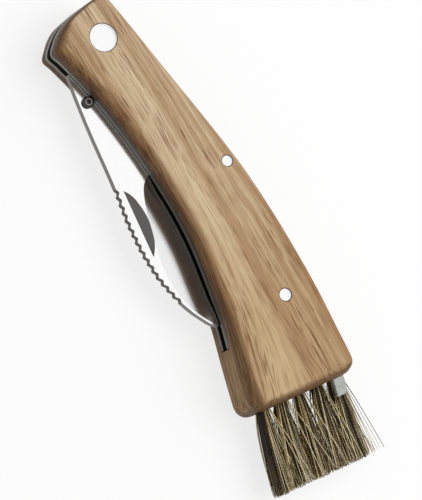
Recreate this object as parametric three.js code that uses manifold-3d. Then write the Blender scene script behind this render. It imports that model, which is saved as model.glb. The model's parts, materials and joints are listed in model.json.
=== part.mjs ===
// Folding mushroom knife: curved blade with a sawn back, wooden handle, bristle brush and tweezers.
// Millimetres. X runs from the blade's pivot to the brush, +Y is the handle's back, +Z the front face.
import * as THREE from "three";
import { mergeGeometries, mergeVertices } from "three/addons/utils/BufferGeometryUtils.js";
import Module from "manifold-3d";

const wasm = await Module();
wasm.setup();

// Handle
const HANDLE_LENGTH = 115.8; // from the head to the brush end
const HANDLE_WIDTH = 32.3; // from the lowest belly point to the highest back point
const SCALE_THICKNESS = 5; // each wooden side
const EDGE_ROUND = 3; // rounding of the wood along the belly and the brush end
const BACK_ROUND = 1.1; // the same along the back and round the head
const CORNER_SHARE = 1.15; // of the edge rounding: a little more, so that its corners stay clean
const LINER_THICKNESS = 1.2; // each steel plate beside the blade
const BLADE_THICKNESS = 2;
const WASHER_THICKNESS = 0.1;
const WASHER_RADIUS = 4.9;
const RUNNING_GAP = 0.05; // beside each piece that turns between the liners
const PIN_FIT = 0.1; // around each pin in its hole
const BACK_SIDE = [-0.6, 0.8]; // where the outline faces this way its rounding is the smaller one
const BACK_SIDE_FROM = -0.1; // how far it faces that way where the rounding begins to shrink
const BACK_SIDE_FULL = 0.3; // and where it has shrunk to the smaller one
const SEAT_GAP = 0.3; // between the steel frame and the wood behind it

// Pins
const RIVET_HEAD_RADIUS = 3.76;
const RIVET_HEAD_THICKNESS = 1.2;
const RIVET_TUBE_RADIUS = 2.4;
const RIVET_SHANK_RADIUS = 1.4;
const RIVET_FLOOR = 1.6; // solid metal between the two rivet heads and the shank's end
const SPRING_PIN_RADIUS = 1.5;
const TAIL_PIN_RADIUS = 1.7;
const STOP_PIN_RADIUS = 1.5;
const STOP_PIN_PROUD = 1; // how far the stop pin stands out of each side of the blade
const PIN_INSET = 0.05; // pin ends below the wood's surface

// Spring and tang
const TANG_RADIUS = 5.2;
const SPRING_LIFT = 0.3; // between the tang and the spring's underside
const SPRING_NOSE = 3.4; // reach of the spring past the pivot towards the head
const SHOULDER_REACH = 3.9; // distance from the pivot to the blade's shoulder
const SPRING_HALF_WIDTH = 2.4; // around the two pins that hold the spring
const FRAME_TAIL = 18; // length of the handle behind the steel frame
const TAIL_PIN_INSET = 4.93; // from the tail pin's axis to the end of the steel frame
const ARM_START_SHARE = 0.435; // where the wood begins to back the spring, share of the handle's length

// Blade
const TIP_CLEARANCE = 6.2; // from the blade's tip to the end of the steel frame
const EDGE_THICKNESS = 0.12;
const TOOTH_PITCH = 2.1;
const TOOTH_DEPTH = 0.5;
const TOOTH_STEPS = 5;
const TOOTH_SLOPE_SHARE = 0.6; // of the pitch, the long side of each tooth
const TEETH_START_SHARE = 0.45; // of the blade's reach
const TEETH_END_SHARE = 0.89;
const GRIND_FADE_SHARE = 0.25; // of the handle's width, over which the grind gets to its full depth
const NICK_DEPTH = 0.5;

// Brush
const TUFT_COUNT = 5;
const TUFT_RADIUS = 1.9;
const TUFT_PITCH = 5.53;
const TUFT_SEAT = 7; // bound root of each tuft inside the wood
const HOLE_DEPTH = 8.4; // bore for each tuft, from the back of the end slice
const HOLE_FIT = 0.1;
const SLICE_THICKNESS = 1; // end slice of the block that carries the bristles
const SLICE_GAP = 0.1;
const STRANDS_PER_TUFT = 62;
const STRAND_RADIUS = 0.17;
const STRAND_TIP_RADIUS = 0.22;
const STRAND_SIDES = 3;
const STRAND_ROOT = 0.5; // how deep each strand starts in the slice
const BRISTLE_LENGTH = 22; // longest strand, from the wood
const TIP_PITCH = 6; // between the middles of two tufts at their tips
const TIP_LEAN = 3.4; // the brush's lean towards the belly at its tips
const SPREAD_Y_SHARE = 1.55; // tip spread over root spread, across the handle
const SPREAD_Z_SHARE = 1.55; // the same through the handle's thickness
const TIP_SINK = 0.5; // lean of the tips towards the rear face, clear of the tweezers' path
const RAGGED_SHARE = 0.09; // of a strand's length, the most that it is short
const ANCHOR_RADIUS = 0.3;

// Tweezers
const STRIP_LENGTH = 36;
const STRIP_WIDTH = 2.6;
const STRIP_THICKNESS = 0.35;
const STRIP_HEIGHT = 1.3; // over both legs
const LEG_TAPER = 6; // length of the legs' converging ends
const TIP_OPENING = 0.3;
const GRIP_LENGTH = 7.2; // plastic head
const GRIP_OUT = 4.6; // part of the head that stands out of the wood
const GRIP_WIDTH = 3.4;
const GRIP_THICKNESS = 2;
const GRIP_END_THICKNESS = 1.3;
const GRIP_LEAN = 0.6; // of the head's end towards the belly
const GRIP_HOLD = 3.4; // length of the strip inside the head
const GRIP_CORNER = 1.6;
const SLOT_FIT = 0.12;
const SLOT_SLOPE = 0.05; // fall of the tweezers' slot towards the belly
const SLOT_END_GAP = 0.6;

// Shared fineness
const CURVE_STEPS = 2; // straight pieces between two points of an outline
const ROUND_STEPS = 4; // straight pieces round a corner or an edge
const TANG_STEPS = 24; // the same round the tang
const WELD = 1e-4; // points closer than this are one
const PIN_SIDES = 32;
const OVERRUN = 1; // how far a cutter runs past what it cuts

// Layers, from the rear face up
const SLOT_WIDTH = BLADE_THICKNESS + 2 * WASHER_THICKNESS + 4 * RUNNING_GAP;
const REAR_LINER_Z = SCALE_THICKNESS;
const SLOT_Z = REAR_LINER_Z + LINER_THICKNESS;
const FRONT_LINER_Z = SLOT_Z + SLOT_WIDTH;
const FRONT_SCALE_Z = FRONT_LINER_Z + LINER_THICKNESS;
const HANDLE_THICKNESS = FRONT_SCALE_Z + SCALE_THICKNESS;
const MID_Z = HANDLE_THICKNESS / 2;
const BLADE_Z = MID_Z - BLADE_THICKNESS / 2;

// Outline of the handle, as shares of its length and width from the pivot
const BELLY_SHARES = [
  [-0.021, -0.399], [0.043, -0.325], [0.117, -0.251], [0.201, -0.195], [0.285, -0.156],
  [0.38, -0.132], [0.432, -0.127], [0.484, -0.133], [0.535, -0.152], [0.604, -0.189],
  [0.674, -0.232], [0.743, -0.297], [0.8, -0.351], [0.845, -0.391],
];
const TAIL_BELLY_CORNER_SHARE = [0.892, -0.43];
const TAIL_BACK_CORNER_SHARE = [0.916, 0.557];
const BACK_SHARES = [
  [0.868, 0.565], [0.816, 0.573], [0.725, 0.587], [0.636, 0.587], [0.527, 0.573],
  [0.401, 0.533], [0.268, 0.452], [0.133, 0.356], [-0.002, 0.263], [-0.048, 0.228],
];
const HEAD_CORNER_SHARE = [-0.088, 0.198];
const HEAD_SHARES = [
  [-0.085, 0.062], [-0.08, -0.031], [-0.07, -0.173], [-0.054, -0.282], [-0.039, -0.347],
];
const SPRING_PIN_SHARE = [0.371, 0.427];
const TAIL_PIN_HEIGHT_SHARE = 0.303; // of the handle's width, above the pivot
// Underside of the spring between its nose and its first pin
const SPRING_UNDER_SHARES = [[0.09, 0.18], [0.18, 0.25], [0.28, 0.32]];

// Blade outlines, as shares of its reach and of the handle's width
const SPINE_SHARES = [
  [0.049, -0.346], [0.149, -0.381], [0.254, -0.412], [0.376, -0.441], [0.45, -0.462],
  [0.507, -0.485], [0.563, -0.505], [0.616, -0.517], [0.667, -0.523], [0.718, -0.518],
  [0.773, -0.504], [0.827, -0.476], [0.88, -0.435], [0.923, -0.391], [0.951, -0.352],
  [0.981, -0.305], [1, -0.258],
];
const EDGE_SHARES = [
  [0.049, 0.155], [0.113, 0.15], [0.15, 0.13], [0.3, 0.111], [0.412, 0.093], [0.45, 0.074],
  [0.537, 0.028], [0.625, -0.028], [0.713, -0.08], [0.8, -0.133], [0.887, -0.186],
  [0.963, -0.229], [1, -0.248],
];
const GRIND_SHARES = [
  [0.412, 0.093], [0.45, -0.105], [0.475, -0.211], [0.512, -0.266], [0.562, -0.3],
  [0.625, -0.319], [0.691, -0.328], [0.805, -0.316], [0.887, -0.294], [0.963, -0.279],
  [1, -0.254],
];
const GRIND_START_SHARE = 0.412;
const NICK_STRAIGHT_SHARES = [[0.466, -0.408], [0.702, -0.457]];
const NICK_CURVE_SHARES = [[0.671, -0.396], [0.646, -0.369], [0.583, -0.336], [0.516, -0.348]];
const STOP_PIN_SHARE = 0.154; // of the blade's reach

// The bristles' middle line at the wood
const MIDDLE_TUFT_SHARE = 0.091; // of the handle's width
const TWEEZERS_SHARE = 0.4; // of the handle's width, at the mouth of the slot

const steel = { color: 0xb9bcbd, roughness: 0.3, metalness: 0.9 };
const bright = { color: 0xdedfe0, roughness: 0.15, metalness: 0.95 };
const spring = { color: 0x8f9293, roughness: 0.4, metalness: 0.85 };
const bronze = { color: 0xa97b45, roughness: 0.45, metalness: 0.8 };
const wood = { color: 0xc59a69, roughness: 0.6, metalness: 0 };
const darkWood = { color: 0xa98457, roughness: 0.65, metalness: 0 };
const bristle = { color: 0x7a6a4c, roughness: 0.85, metalness: 0 };
const plastic = { color: 0xc9ccc6, roughness: 0.5, metalness: 0 };

// A share of the handle's length and width as a point
function handlePoint([xShare, yShare]) {
  return new THREE.Vector2(xShare * HANDLE_LENGTH, yShare * HANDLE_WIDTH);
}

function smooth(shares) {
  const points = shares.map(handlePoint);
  return new THREE.SplineCurve(points).getPoints(CURVE_STEPS * points.length);
}

// Points of a round corner between two straight runs
function roundCorner(before, corner, after, radius) {
  const towards = before.clone().sub(corner).normalize();
  const away = after.clone().sub(corner).normalize();
  const half = Math.acos(towards.dot(away)) / 2;
  const bisector = towards.clone().add(away).normalize();
  const centre = corner.clone().addScaledVector(bisector, radius / Math.sin(half));
  const start = corner.clone().addScaledVector(towards, radius / Math.tan(half)).sub(centre);
  const turn = Math.PI - 2 * half;
  return Array.from({ length: ROUND_STEPS + 1 }, (_, i) =>
    start.clone().rotateAround(new THREE.Vector2(), (turn * i) / ROUND_STEPS).add(centre));
}

const CORNER_RADIUS = CORNER_SHARE * EDGE_ROUND;
const tailBelly = handlePoint(TAIL_BELLY_CORNER_SHARE);
const tailBack = handlePoint(TAIL_BACK_CORNER_SHARE);
const headCorner = handlePoint(HEAD_CORNER_SHARE);
const belly = smooth(BELLY_SHARES);
const back = smooth(BACK_SHARES);
const head = smooth(HEAD_SHARES);
const outline = [
  ...belly,
  ...roundCorner(belly.at(-1), tailBelly, tailBack, CORNER_RADIUS),
  ...roundCorner(tailBelly, tailBack, back[0], CORNER_RADIUS),
  ...back,
  ...roundCorner(back.at(-1), headCorner, head[0], CORNER_RADIUS),
  ...head,
];

// A closed geometry as a manifold solid
function solidOf(geometry) {
  const bare = geometry.index ? geometry.toNonIndexed() : geometry.clone();
  bare.deleteAttribute("normal");
  bare.deleteAttribute("uv");
  const merged = mergeVertices(bare, WELD);
  return new wasm.Manifold(new wasm.Mesh({
    numProp: 3,
    vertProperties: merged.attributes.position.array,
    triVerts: new Uint32Array(merged.index.array),
  }));
}

function geometryOf(solid) {
  const mesh = solid.getMesh();
  const geometry = new THREE.BufferGeometry();
  geometry.setAttribute("position", new THREE.BufferAttribute(mesh.vertProperties, 3));
  geometry.setIndex(new THREE.BufferAttribute(mesh.triVerts, 1));
  geometry.computeVertexNormals();
  return geometry;
}

// A flat plate with the given outline, from one height up
function plate(points, bottom, thickness) {
  const shape = new THREE.Shape(points);
  const geometry = new THREE.ExtrudeGeometry(shape, { depth: thickness, bevelEnabled: false });
  return solidOf(geometry.translate(0, 0, bottom));
}

function cylinder(radius, bottom, top, centre = new THREE.Vector2()) {
  const geometry = new THREE.CylinderGeometry(radius, radius, top - bottom, PIN_SIDES);
  geometry.rotateX(Math.PI / 2).translate(centre.x, centre.y, (bottom + top) / 2);
  return solidOf(geometry);
}

const springPin = handlePoint(SPRING_PIN_SHARE);
const frameTail = TAIL_BELLY_CORNER_SHARE[0] * HANDLE_LENGTH - FRAME_TAIL;
const tailPin = new THREE.Vector2(
  frameTail - TAIL_PIN_INSET,
  TAIL_PIN_HEIGHT_SHARE * HANDLE_WIDTH,
);
const pinLine = tailPin.clone().sub(springPin).normalize();
const pinNormal = new THREE.Vector2(-pinLine.y, pinLine.x);

// The point above or below the line through the spring's two pins, at one place along the handle
function besidePinLine(x, offset) {
  const along = (x - springPin.x) / pinLine.x;
  const middle = springPin.clone().addScaledVector(pinLine, along);
  return new THREE.Vector2(x, middle.y + offset / pinNormal.y);
}

// Outline of the steel frame: the whole head, then a band that ends at the frame's tail
function frameOutline(gap) {
  const armStart = ARM_START_SHARE * HANDLE_LENGTH + gap;
  const far = HANDLE_WIDTH;
  const upper = SPRING_HALF_WIDTH + gap;
  return [
    new THREE.Vector2(-HANDLE_LENGTH, -far),
    new THREE.Vector2(frameTail + gap, -far),
    besidePinLine(frameTail + gap, upper),
    besidePinLine(armStart, upper),
    new THREE.Vector2(armStart, far),
    new THREE.Vector2(-HANDLE_LENGTH, far),
  ];
}

function pinHoles(solid) {
  const reach = HANDLE_THICKNESS + OVERRUN;
  return solid
    .subtract(cylinder(RIVET_TUBE_RADIUS + PIN_FIT, -OVERRUN, reach))
    .subtract(cylinder(SPRING_PIN_RADIUS + PIN_FIT, -OVERRUN, reach, springPin))
    .subtract(cylinder(TAIL_PIN_RADIUS + PIN_FIT, -OVERRUN, reach, tailPin));
}

// The outline drawn in by a distance for each corner, along the corner's own bisector
function drawnIn(points, distances) {
  return points.map((point, i) => {
    const before = point.clone().sub(points.at(i - 1)).normalize();
    const after = points[(i + 1) % points.length].clone().sub(point).normalize();
    const inward = new THREE.Vector2(-before.y - after.y, before.x + after.x);
    return point.clone().addScaledVector(inward, distances[i] / (1 + before.dot(after)));
  });
}

// The wood's rounding at each point of its outline
function roundings(points) {
  return points.map((_, i) => {
    const run = points[(i + 1) % points.length].clone().sub(points.at(i - 1)).normalize();
    const facing = run.y * BACK_SIDE[0] - run.x * BACK_SIDE[1];
    const share = THREE.MathUtils.smoothstep(facing, BACK_SIDE_FROM, BACK_SIDE_FULL);
    return THREE.MathUtils.lerp(EDGE_ROUND, BACK_ROUND, share);
  });
}

// Wooden side, rounded on its outer edge, with a recess for the rivet's head
function scale(front) {
  const rounds = roundings(outline);
  const inner = front ? FRONT_SCALE_Z : SCALE_THICKNESS;
  const rings = [outline.map((point) => [point.x, point.y, inner])];
  for (let i = 0; i <= ROUND_STEPS; i++) {
    const angle = (Math.PI * i) / (2 * ROUND_STEPS);
    const insets = rounds.map((round) => round * (1 - Math.cos(angle)));
    rings.push(drawnIn(outline, insets).map((point, k) => {
      const rise = SCALE_THICKNESS - rounds[k] * (1 - Math.sin(angle));
      return [point.x, point.y, front ? inner + rise : inner - rise];
    }));
  }
  if (!front) rings.reverse();
  const outer = front ? HANDLE_THICKNESS : 0;
  const recess = cylinder(
    RIVET_HEAD_RADIUS + PIN_FIT,
    outer - RIVET_HEAD_THICKNESS - PIN_FIT,
    outer + RIVET_HEAD_THICKNESS + PIN_FIT,
  );
  return pinHoles(solidOf(stack(rings))).subtract(recess);
}

// Steel plate beside the blade
function liner(bottom) {
  const whole = plate(outline, bottom, LINER_THICKNESS);
  const keep = plate(frameOutline(0), bottom - OVERRUN, LINER_THICKNESS + 2 * OVERRUN);
  return pinHoles(whole.intersect(keep));
}

// Spring that presses on the tang: flush with the back, then a band through both pins
function backSpring() {
  const bottom = SLOT_Z + RUNNING_GAP;
  const thickness = SLOT_WIDTH - 2 * RUNNING_GAP;
  const underside = TANG_RADIUS + SPRING_LIFT;
  const tail = frameTail - SEAT_GAP;
  const armStart = ARM_START_SHARE * HANDLE_LENGTH;
  const under = [
    new THREE.Vector2(-SPRING_NOSE, underside),
    ...SPRING_UNDER_SHARES.map(handlePoint),
    besidePinLine(springPin.x, -SPRING_HALF_WIDTH),
    besidePinLine(tail, -SPRING_HALF_WIDTH),
    besidePinLine(tail, SPRING_HALF_WIDTH),
    besidePinLine(armStart, SPRING_HALF_WIDTH),
    new THREE.Vector2(armStart, HANDLE_WIDTH),
    new THREE.Vector2(-SPRING_NOSE, HANDLE_WIDTH),
  ];
  const keep = plate(under, bottom - OVERRUN, thickness + 2 * OVERRUN);
  return pinHoles(plate(outline, bottom, thickness).intersect(keep));
}

// Blade: a flat tang that turns on the rivet, and a body ground to an edge
const bladeReach = frameTail - TIP_CLEARANCE;

function bladePoint([xShare, yShare]) {
  return new THREE.Vector2(xShare * bladeReach, yShare * HANDLE_WIDTH);
}

// Height of a line of shares at one place along the blade
function heightAt(shares, share) {
  const next = Math.max(1, shares.findIndex(([x]) => x >= share));
  const [a, b] = [shares[next - 1], shares[next]];
  return THREE.MathUtils.mapLinear(share, a[0], b[0], a[1], b[1]) * HANDLE_WIDTH;
}

// How far the sawn back dips at one place along the blade
function toothDip(share) {
  if (share <= TEETH_START_SHARE || share >= TEETH_END_SHARE) return 0;
  const turns = ((share - TEETH_START_SHARE) * bladeReach) / TOOTH_PITCH;
  const phase = turns - Math.floor(turns);
  const long = phase / TOOTH_SLOPE_SHARE;
  const short = (1 - phase) / (1 - TOOTH_SLOPE_SHARE);
  return TOOTH_DEPTH * Math.min(long, short);
}

function bladeSection(share) {
  const x = share * bladeReach;
  const spine = heightAt(SPINE_SHARES, share) + toothDip(share);
  const edge = heightAt(EDGE_SHARES, share);
  const ground = share > GRIND_START_SHARE;
  const grind = ground ? heightAt(GRIND_SHARES, share) : edge;
  const fade = THREE.MathUtils.smoothstep(edge - grind, 0, GRIND_FADE_SHARE * HANDLE_WIDTH);
  const edgeHalf = THREE.MathUtils.lerp(BLADE_THICKNESS, EDGE_THICKNESS, fade) / 2;
  const half = BLADE_THICKNESS / 2;
  const line = Math.min(edge - EDGE_THICKNESS, Math.max(grind, spine + EDGE_THICKNESS));
  return [
    [x, spine, -half], [x, line, -half], [x, edge, -edgeHalf],
    [x, edge, edgeHalf], [x, line, half], [x, spine, half],
  ];
}

function bladeStations() {
  const teeth = [];
  const toothShare = TOOTH_PITCH / bladeReach;
  const count = Math.floor((TEETH_END_SHARE - TEETH_START_SHARE) / toothShare);
  for (let i = 0; i <= count * TOOTH_STEPS; i++) {
    teeth.push(TEETH_START_SHARE + (toothShare * i) / TOOTH_STEPS);
  }
  const plain = [...SPINE_SHARES, ...EDGE_SHARES, ...GRIND_SHARES].map(([x]) => x);
  const outside = plain.filter((x) => x < TEETH_START_SHARE || x > teeth.at(-1));
  return [...new Set([...outside, ...teeth])].sort((a, b) => a - b);
}

// Faces of the walls between rows of points that all have the same count
function wallFaces(rows, sides) {
  const index = [];
  for (let row = 0; row < rows - 1; row++) {
    for (let i = 0; i < sides; i++) {
      const a = row * sides + i;
      const b = row * sides + ((i + 1) % sides);
      index.push(a, b, b + sides, a, b + sides, a + sides);
    }
  }
  return index;
}

function skin(rows, index) {
  const geometry = new THREE.BufferGeometry();
  geometry.setAttribute("position", new THREE.Float32BufferAttribute(rows.flat(2), 3));
  geometry.setIndex(index);
  return geometry;
}

// Closed skin through rows of points, with a simple fan at each end
function loft(rows) {
  const sides = rows[0].length;
  const index = wallFaces(rows.length, sides);
  const last = (rows.length - 1) * sides;
  for (let i = 1; i < sides - 1; i++) {
    index.push(0, i + 1, i, last, last + i, last + i + 1);
  }
  return skin(rows, index);
}

// Closed skin through level rings of any outline, from the lowest ring up
function stack(rings) {
  const sides = rings[0].length;
  const index = wallFaces(rings.length, sides);
  const last = (rings.length - 1) * sides;
  const flat = (ring) => ring.map(([x, y]) => new THREE.Vector2(x, y));
  for (const [a, b, c] of THREE.ShapeUtils.triangulateShape(flat(rings[0]), [])) {
    index.push(a, c, b);
  }
  for (const [a, b, c] of THREE.ShapeUtils.triangulateShape(flat(rings.at(-1)), [])) {
    index.push(last + a, last + b, last + c);
  }
  return skin(rings, index);
}

function bladeBody() {
  const body = loft(bladeStations().map(bladeSection));
  return solidOf(body.translate(0, 0, MID_Z));
}

// Round tang under the spring, square shoulder in front of it
function tang() {
  const quarter = Math.PI / 2;
  const points = [];
  for (let i = 0; i <= TANG_STEPS; i++) {
    const angle = quarter + (2 * quarter * i) / TANG_STEPS;
    points.push(new THREE.Vector2(Math.cos(angle), Math.sin(angle)).multiplyScalar(TANG_RADIUS));
  }
  const start = SPINE_SHARES[0][0] * bladeReach;
  points.push(new THREE.Vector2(SHOULDER_REACH, -TANG_RADIUS));
  points.push(new THREE.Vector2(start + OVERRUN, -TANG_RADIUS));
  points.push(new THREE.Vector2(start + OVERRUN, heightAt(EDGE_SHARES, SPINE_SHARES[0][0])));
  return plate(points, BLADE_Z, BLADE_THICKNESS);
}

const stopPin = placeStopPin();

// The stop pin lies against the liners' belly when the blade is closed
function placeStopPin() {
  const x = STOP_PIN_SHARE * bladeReach;
  const next = belly.findIndex((point) => point.x > x);
  const [a, b] = [belly[next - 1], belly[next]];
  const along = b.clone().sub(a).normalize();
  const on = a.clone().addScaledVector(along, (x - a.x) / along.x);
  return on.addScaledVector(new THREE.Vector2(along.y, -along.x), STOP_PIN_RADIUS + PIN_FIT);
}

function nailNick() {
  const straight = NICK_STRAIGHT_SHARES.map(bladePoint);
  const curve = new THREE.SplineCurve([
    straight[1],
    ...NICK_CURVE_SHARES.map(bladePoint),
    straight[0],
  ]).getPoints(CURVE_STEPS * ROUND_STEPS);
  return plate(curve, BLADE_Z + BLADE_THICKNESS - NICK_DEPTH, NICK_DEPTH + OVERRUN);
}

function blade() {
  const top = BLADE_Z + BLADE_THICKNESS + OVERRUN;
  const bottom = BLADE_Z - OVERRUN;
  return bladeBody()
    .add(tang())
    .subtract(cylinder(RIVET_TUBE_RADIUS + PIN_FIT, bottom, top))
    .subtract(cylinder(STOP_PIN_RADIUS + PIN_FIT, bottom, top, stopPin))
    .subtract(nailNick());
}

function stopPinSolid() {
  const bottom = BLADE_Z - STOP_PIN_PROUD;
  const top = BLADE_Z + BLADE_THICKNESS + STOP_PIN_PROUD;
  return cylinder(STOP_PIN_RADIUS, bottom, top, stopPin);
}

function washer(bottom) {
  const outer = cylinder(WASHER_RADIUS, bottom, bottom + WASHER_THICKNESS);
  const hole = cylinder(RIVET_TUBE_RADIUS + PIN_FIT, bottom - OVERRUN, bottom + OVERRUN);
  return outer.subtract(hole);
}

// The rivet is two halves: a tube with a head at the rear, and a shank with a head at the front
function rivetTube() {
  const floor = PIN_INSET + RIVET_HEAD_THICKNESS;
  const top = HANDLE_THICKNESS - PIN_INSET - RIVET_HEAD_THICKNESS - PIN_FIT;
  const bore = cylinder(RIVET_SHANK_RADIUS + PIN_FIT, floor + RIVET_FLOOR, top + OVERRUN);
  return cylinder(RIVET_HEAD_RADIUS, PIN_INSET, floor)
    .add(cylinder(RIVET_TUBE_RADIUS, PIN_INSET, top))
    .subtract(bore);
}

function rivetShank() {
  const top = HANDLE_THICKNESS - PIN_INSET;
  const bottom = PIN_INSET + RIVET_HEAD_THICKNESS + RIVET_FLOOR + PIN_FIT;
  return cylinder(RIVET_HEAD_RADIUS, top - RIVET_HEAD_THICKNESS, top)
    .add(cylinder(RIVET_SHANK_RADIUS, bottom, top));
}

// Brush end: a straight face between the two tail corners
const faceAlong = tailBack.clone().sub(tailBelly).normalize();
const faceOut = new THREE.Vector2(faceAlong.y, -faceAlong.x);
const faceMiddle = tailBelly.clone().addScaledVector(
  faceAlong,
  (MIDDLE_TUFT_SHARE * HANDLE_WIDTH - tailBelly.y) / faceAlong.y,
);

// A point beside the brush face: across it, and out of it
function facePoint(across, out) {
  return faceMiddle.clone().addScaledVector(faceAlong, across).addScaledVector(faceOut, out);
}

// A rod that stands square to the brush face, between two distances from it
function faceRod(across, from, to, radius) {
  const geometry = new THREE.CylinderGeometry(radius, radius, to - from, PIN_SIDES / 2);
  const middle = facePoint(across, (from + to) / 2);
  geometry.rotateZ(Math.atan2(faceOut.y, faceOut.x) - Math.PI / 2);
  return solidOf(geometry.translate(middle.x, middle.y, MID_Z));
}

// A band of the handle's outline along the brush face, one slice thick
function faceBand(fromAcross, toAcross, depth) {
  return [
    facePoint(fromAcross, -depth), facePoint(toAcross, -depth),
    facePoint(toAcross, OVERRUN), facePoint(fromAcross, OVERRUN),
  ].reverse();
}

const WOOD_MIDDLE_Z = REAR_LINER_Z;
const WOOD_MIDDLE_THICKNESS = FRONT_SCALE_Z - REAR_LINER_Z;
const tuftAcross = (i) => (i - (TUFT_COUNT - 1) / 2) * TUFT_PITCH;
const rowHalf = (TUFT_COUNT * TUFT_PITCH) / 2;

// Middle wood behind the frame, bored for the tufts
function brushBlock() {
  const cutTall = WOOD_MIDDLE_THICKNESS + 2 * OVERRUN;
  const below = WOOD_MIDDLE_Z - OVERRUN;
  let block = plate(outline, WOOD_MIDDLE_Z, WOOD_MIDDLE_THICKNESS)
    .subtract(plate(frameOutline(SEAT_GAP), below, cutTall))
    .subtract(plate(faceBand(-rowHalf, rowHalf, SLICE_THICKNESS), below, cutTall));
  for (let i = 0; i < TUFT_COUNT; i++) {
    const from = -SLICE_THICKNESS - HOLE_DEPTH;
    block = block.subtract(faceRod(tuftAcross(i), from, OVERRUN, TUFT_RADIUS + HOLE_FIT));
  }
  return block;
}

// A steady number from zero to one for each strand
const HASH_STEP = 12.9898;
const HASH_GAIN = 43758.5453;

function hash(n) {
  const wave = Math.sin(n * HASH_STEP) * HASH_GAIN;
  return wave - Math.floor(wave);
}

// One bristle: a thin prism, split and frayed wider towards its tip
function strand(root, tip) {
  const axis = tip.clone().sub(root).normalize();
  const side = new THREE.Vector3(0, 0, 1).cross(axis).normalize();
  const up = axis.clone().cross(side);
  const ring = (centre, radius) => Array.from({ length: STRAND_SIDES }, (_, i) => {
    const angle = (2 * Math.PI * i) / STRAND_SIDES;
    return centre.clone()
      .addScaledVector(side, radius * Math.cos(angle))
      .addScaledVector(up, radius * Math.sin(angle))
      .toArray();
  });
  return loft([ring(root, STRAND_RADIUS), ring(tip, STRAND_TIP_RADIUS)]);
}

// The strands of one tuft start close together and fan out, so that none crosses another
function tuftStrands(index) {
  const step = Math.PI * (3 - Math.sqrt(5));
  const reach = TUFT_RADIUS - STRAND_RADIUS;
  const strands = [];
  for (let i = 0; i < STRANDS_PER_TUFT; i++) {
    const radius = reach * Math.sqrt((i + 0.5) / STRANDS_PER_TUFT);
    const [across, up] = [radius * Math.cos(step * i), radius * Math.sin(step * i)];
    const start = facePoint(tuftAcross(index) + across, -STRAND_ROOT);
    const tipAcross = (index - (TUFT_COUNT - 1) / 2) * TIP_PITCH - TIP_LEAN;
    const end = facePoint(tipAcross + across * SPREAD_Y_SHARE, BRISTLE_LENGTH);
    const root = new THREE.Vector3(start.x, start.y, MID_Z + up);
    const tip = new THREE.Vector3(end.x, end.y, MID_Z - TIP_SINK + up * SPREAD_Z_SHARE);
    tip.lerp(root, RAGGED_SHARE * hash(i + index * STRANDS_PER_TUFT));
    strands.push(strand(root, tip));
  }
  return solidOf(mergeGeometries(strands));
}

// Tufts in a row on their slice of the block's end, with their bound roots behind it
function tufts(first, last) {
  const low = tuftAcross(first) - TUFT_PITCH / 2 + SLICE_GAP;
  const high = tuftAcross(last) + TUFT_PITCH / 2 - SLICE_GAP;
  const band = faceBand(low, high, SLICE_THICKNESS - SLICE_GAP);
  const whole = plate(outline, WOOD_MIDDLE_Z, WOOD_MIDDLE_THICKNESS);
  let solid = whole.intersect(plate(band, 0, HANDLE_THICKNESS));
  for (let i = first; i <= last; i++) {
    const back = -SLICE_THICKNESS - TUFT_SEAT;
    solid = solid
      .add(faceRod(tuftAcross(i), back, -SLICE_THICKNESS / 2, TUFT_RADIUS))
      .add(tuftStrands(i));
  }
  return solid;
}

// Wire that holds the folded root of one tuft at the bottom of its bore
function anchorWire(index) {
  const length = 2 * (TUFT_RADIUS - ANCHOR_RADIUS);
  const geometry = new THREE.CylinderGeometry(ANCHOR_RADIUS, ANCHOR_RADIUS, length, PIN_SIDES / 4);
  const out = -SLICE_THICKNESS - TUFT_SEAT - 2 * ANCHOR_RADIUS;
  const place = facePoint(tuftAcross(index), out);
  return solidOf(geometry.rotateX(Math.PI / 2).translate(place.x, place.y, MID_Z));
}

// Tweezers lie in a slot of the front scale: their own frame has its origin at the slot's mouth
const tweezersFrame = new THREE.Group();
const mouthX = facePoint(TWEEZERS_SHARE * HANDLE_WIDTH - faceMiddle.y, 0).x;
tweezersFrame.position.set(mouthX, TWEEZERS_SHARE * HANDLE_WIDTH, FRONT_SCALE_Z + SLOT_FIT);
tweezersFrame.rotation.z = -Math.atan(SLOT_SLOPE);
tweezersFrame.updateMatrix();
const stripEnd = GRIP_OUT - GRIP_LENGTH + GRIP_HOLD;

function tweezersSlot() {
  const length = STRIP_LENGTH + SLOT_END_GAP + OVERRUN;
  const height = GRIP_THICKNESS + 2 * SLOT_FIT;
  const slot = new THREE.BoxGeometry(length, GRIP_WIDTH + 2 * SLOT_FIT, height + OVERRUN);
  const start = stripEnd - STRIP_LENGTH - SLOT_END_GAP;
  slot.translate(start + length / 2, 0, (height - OVERRUN) / 2 - SLOT_FIT);
  return solidOf(slot.applyMatrix4(tweezersFrame.matrix));
}

// A side view in X and Z, drawn through a width in Y
function sideways(points, width) {
  const geometry = new THREE.ExtrudeGeometry(new THREE.Shape(points), {
    depth: width,
    bevelEnabled: false,
  });
  return geometry.rotateX(Math.PI / 2).translate(0, width / 2, 0);
}

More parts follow.
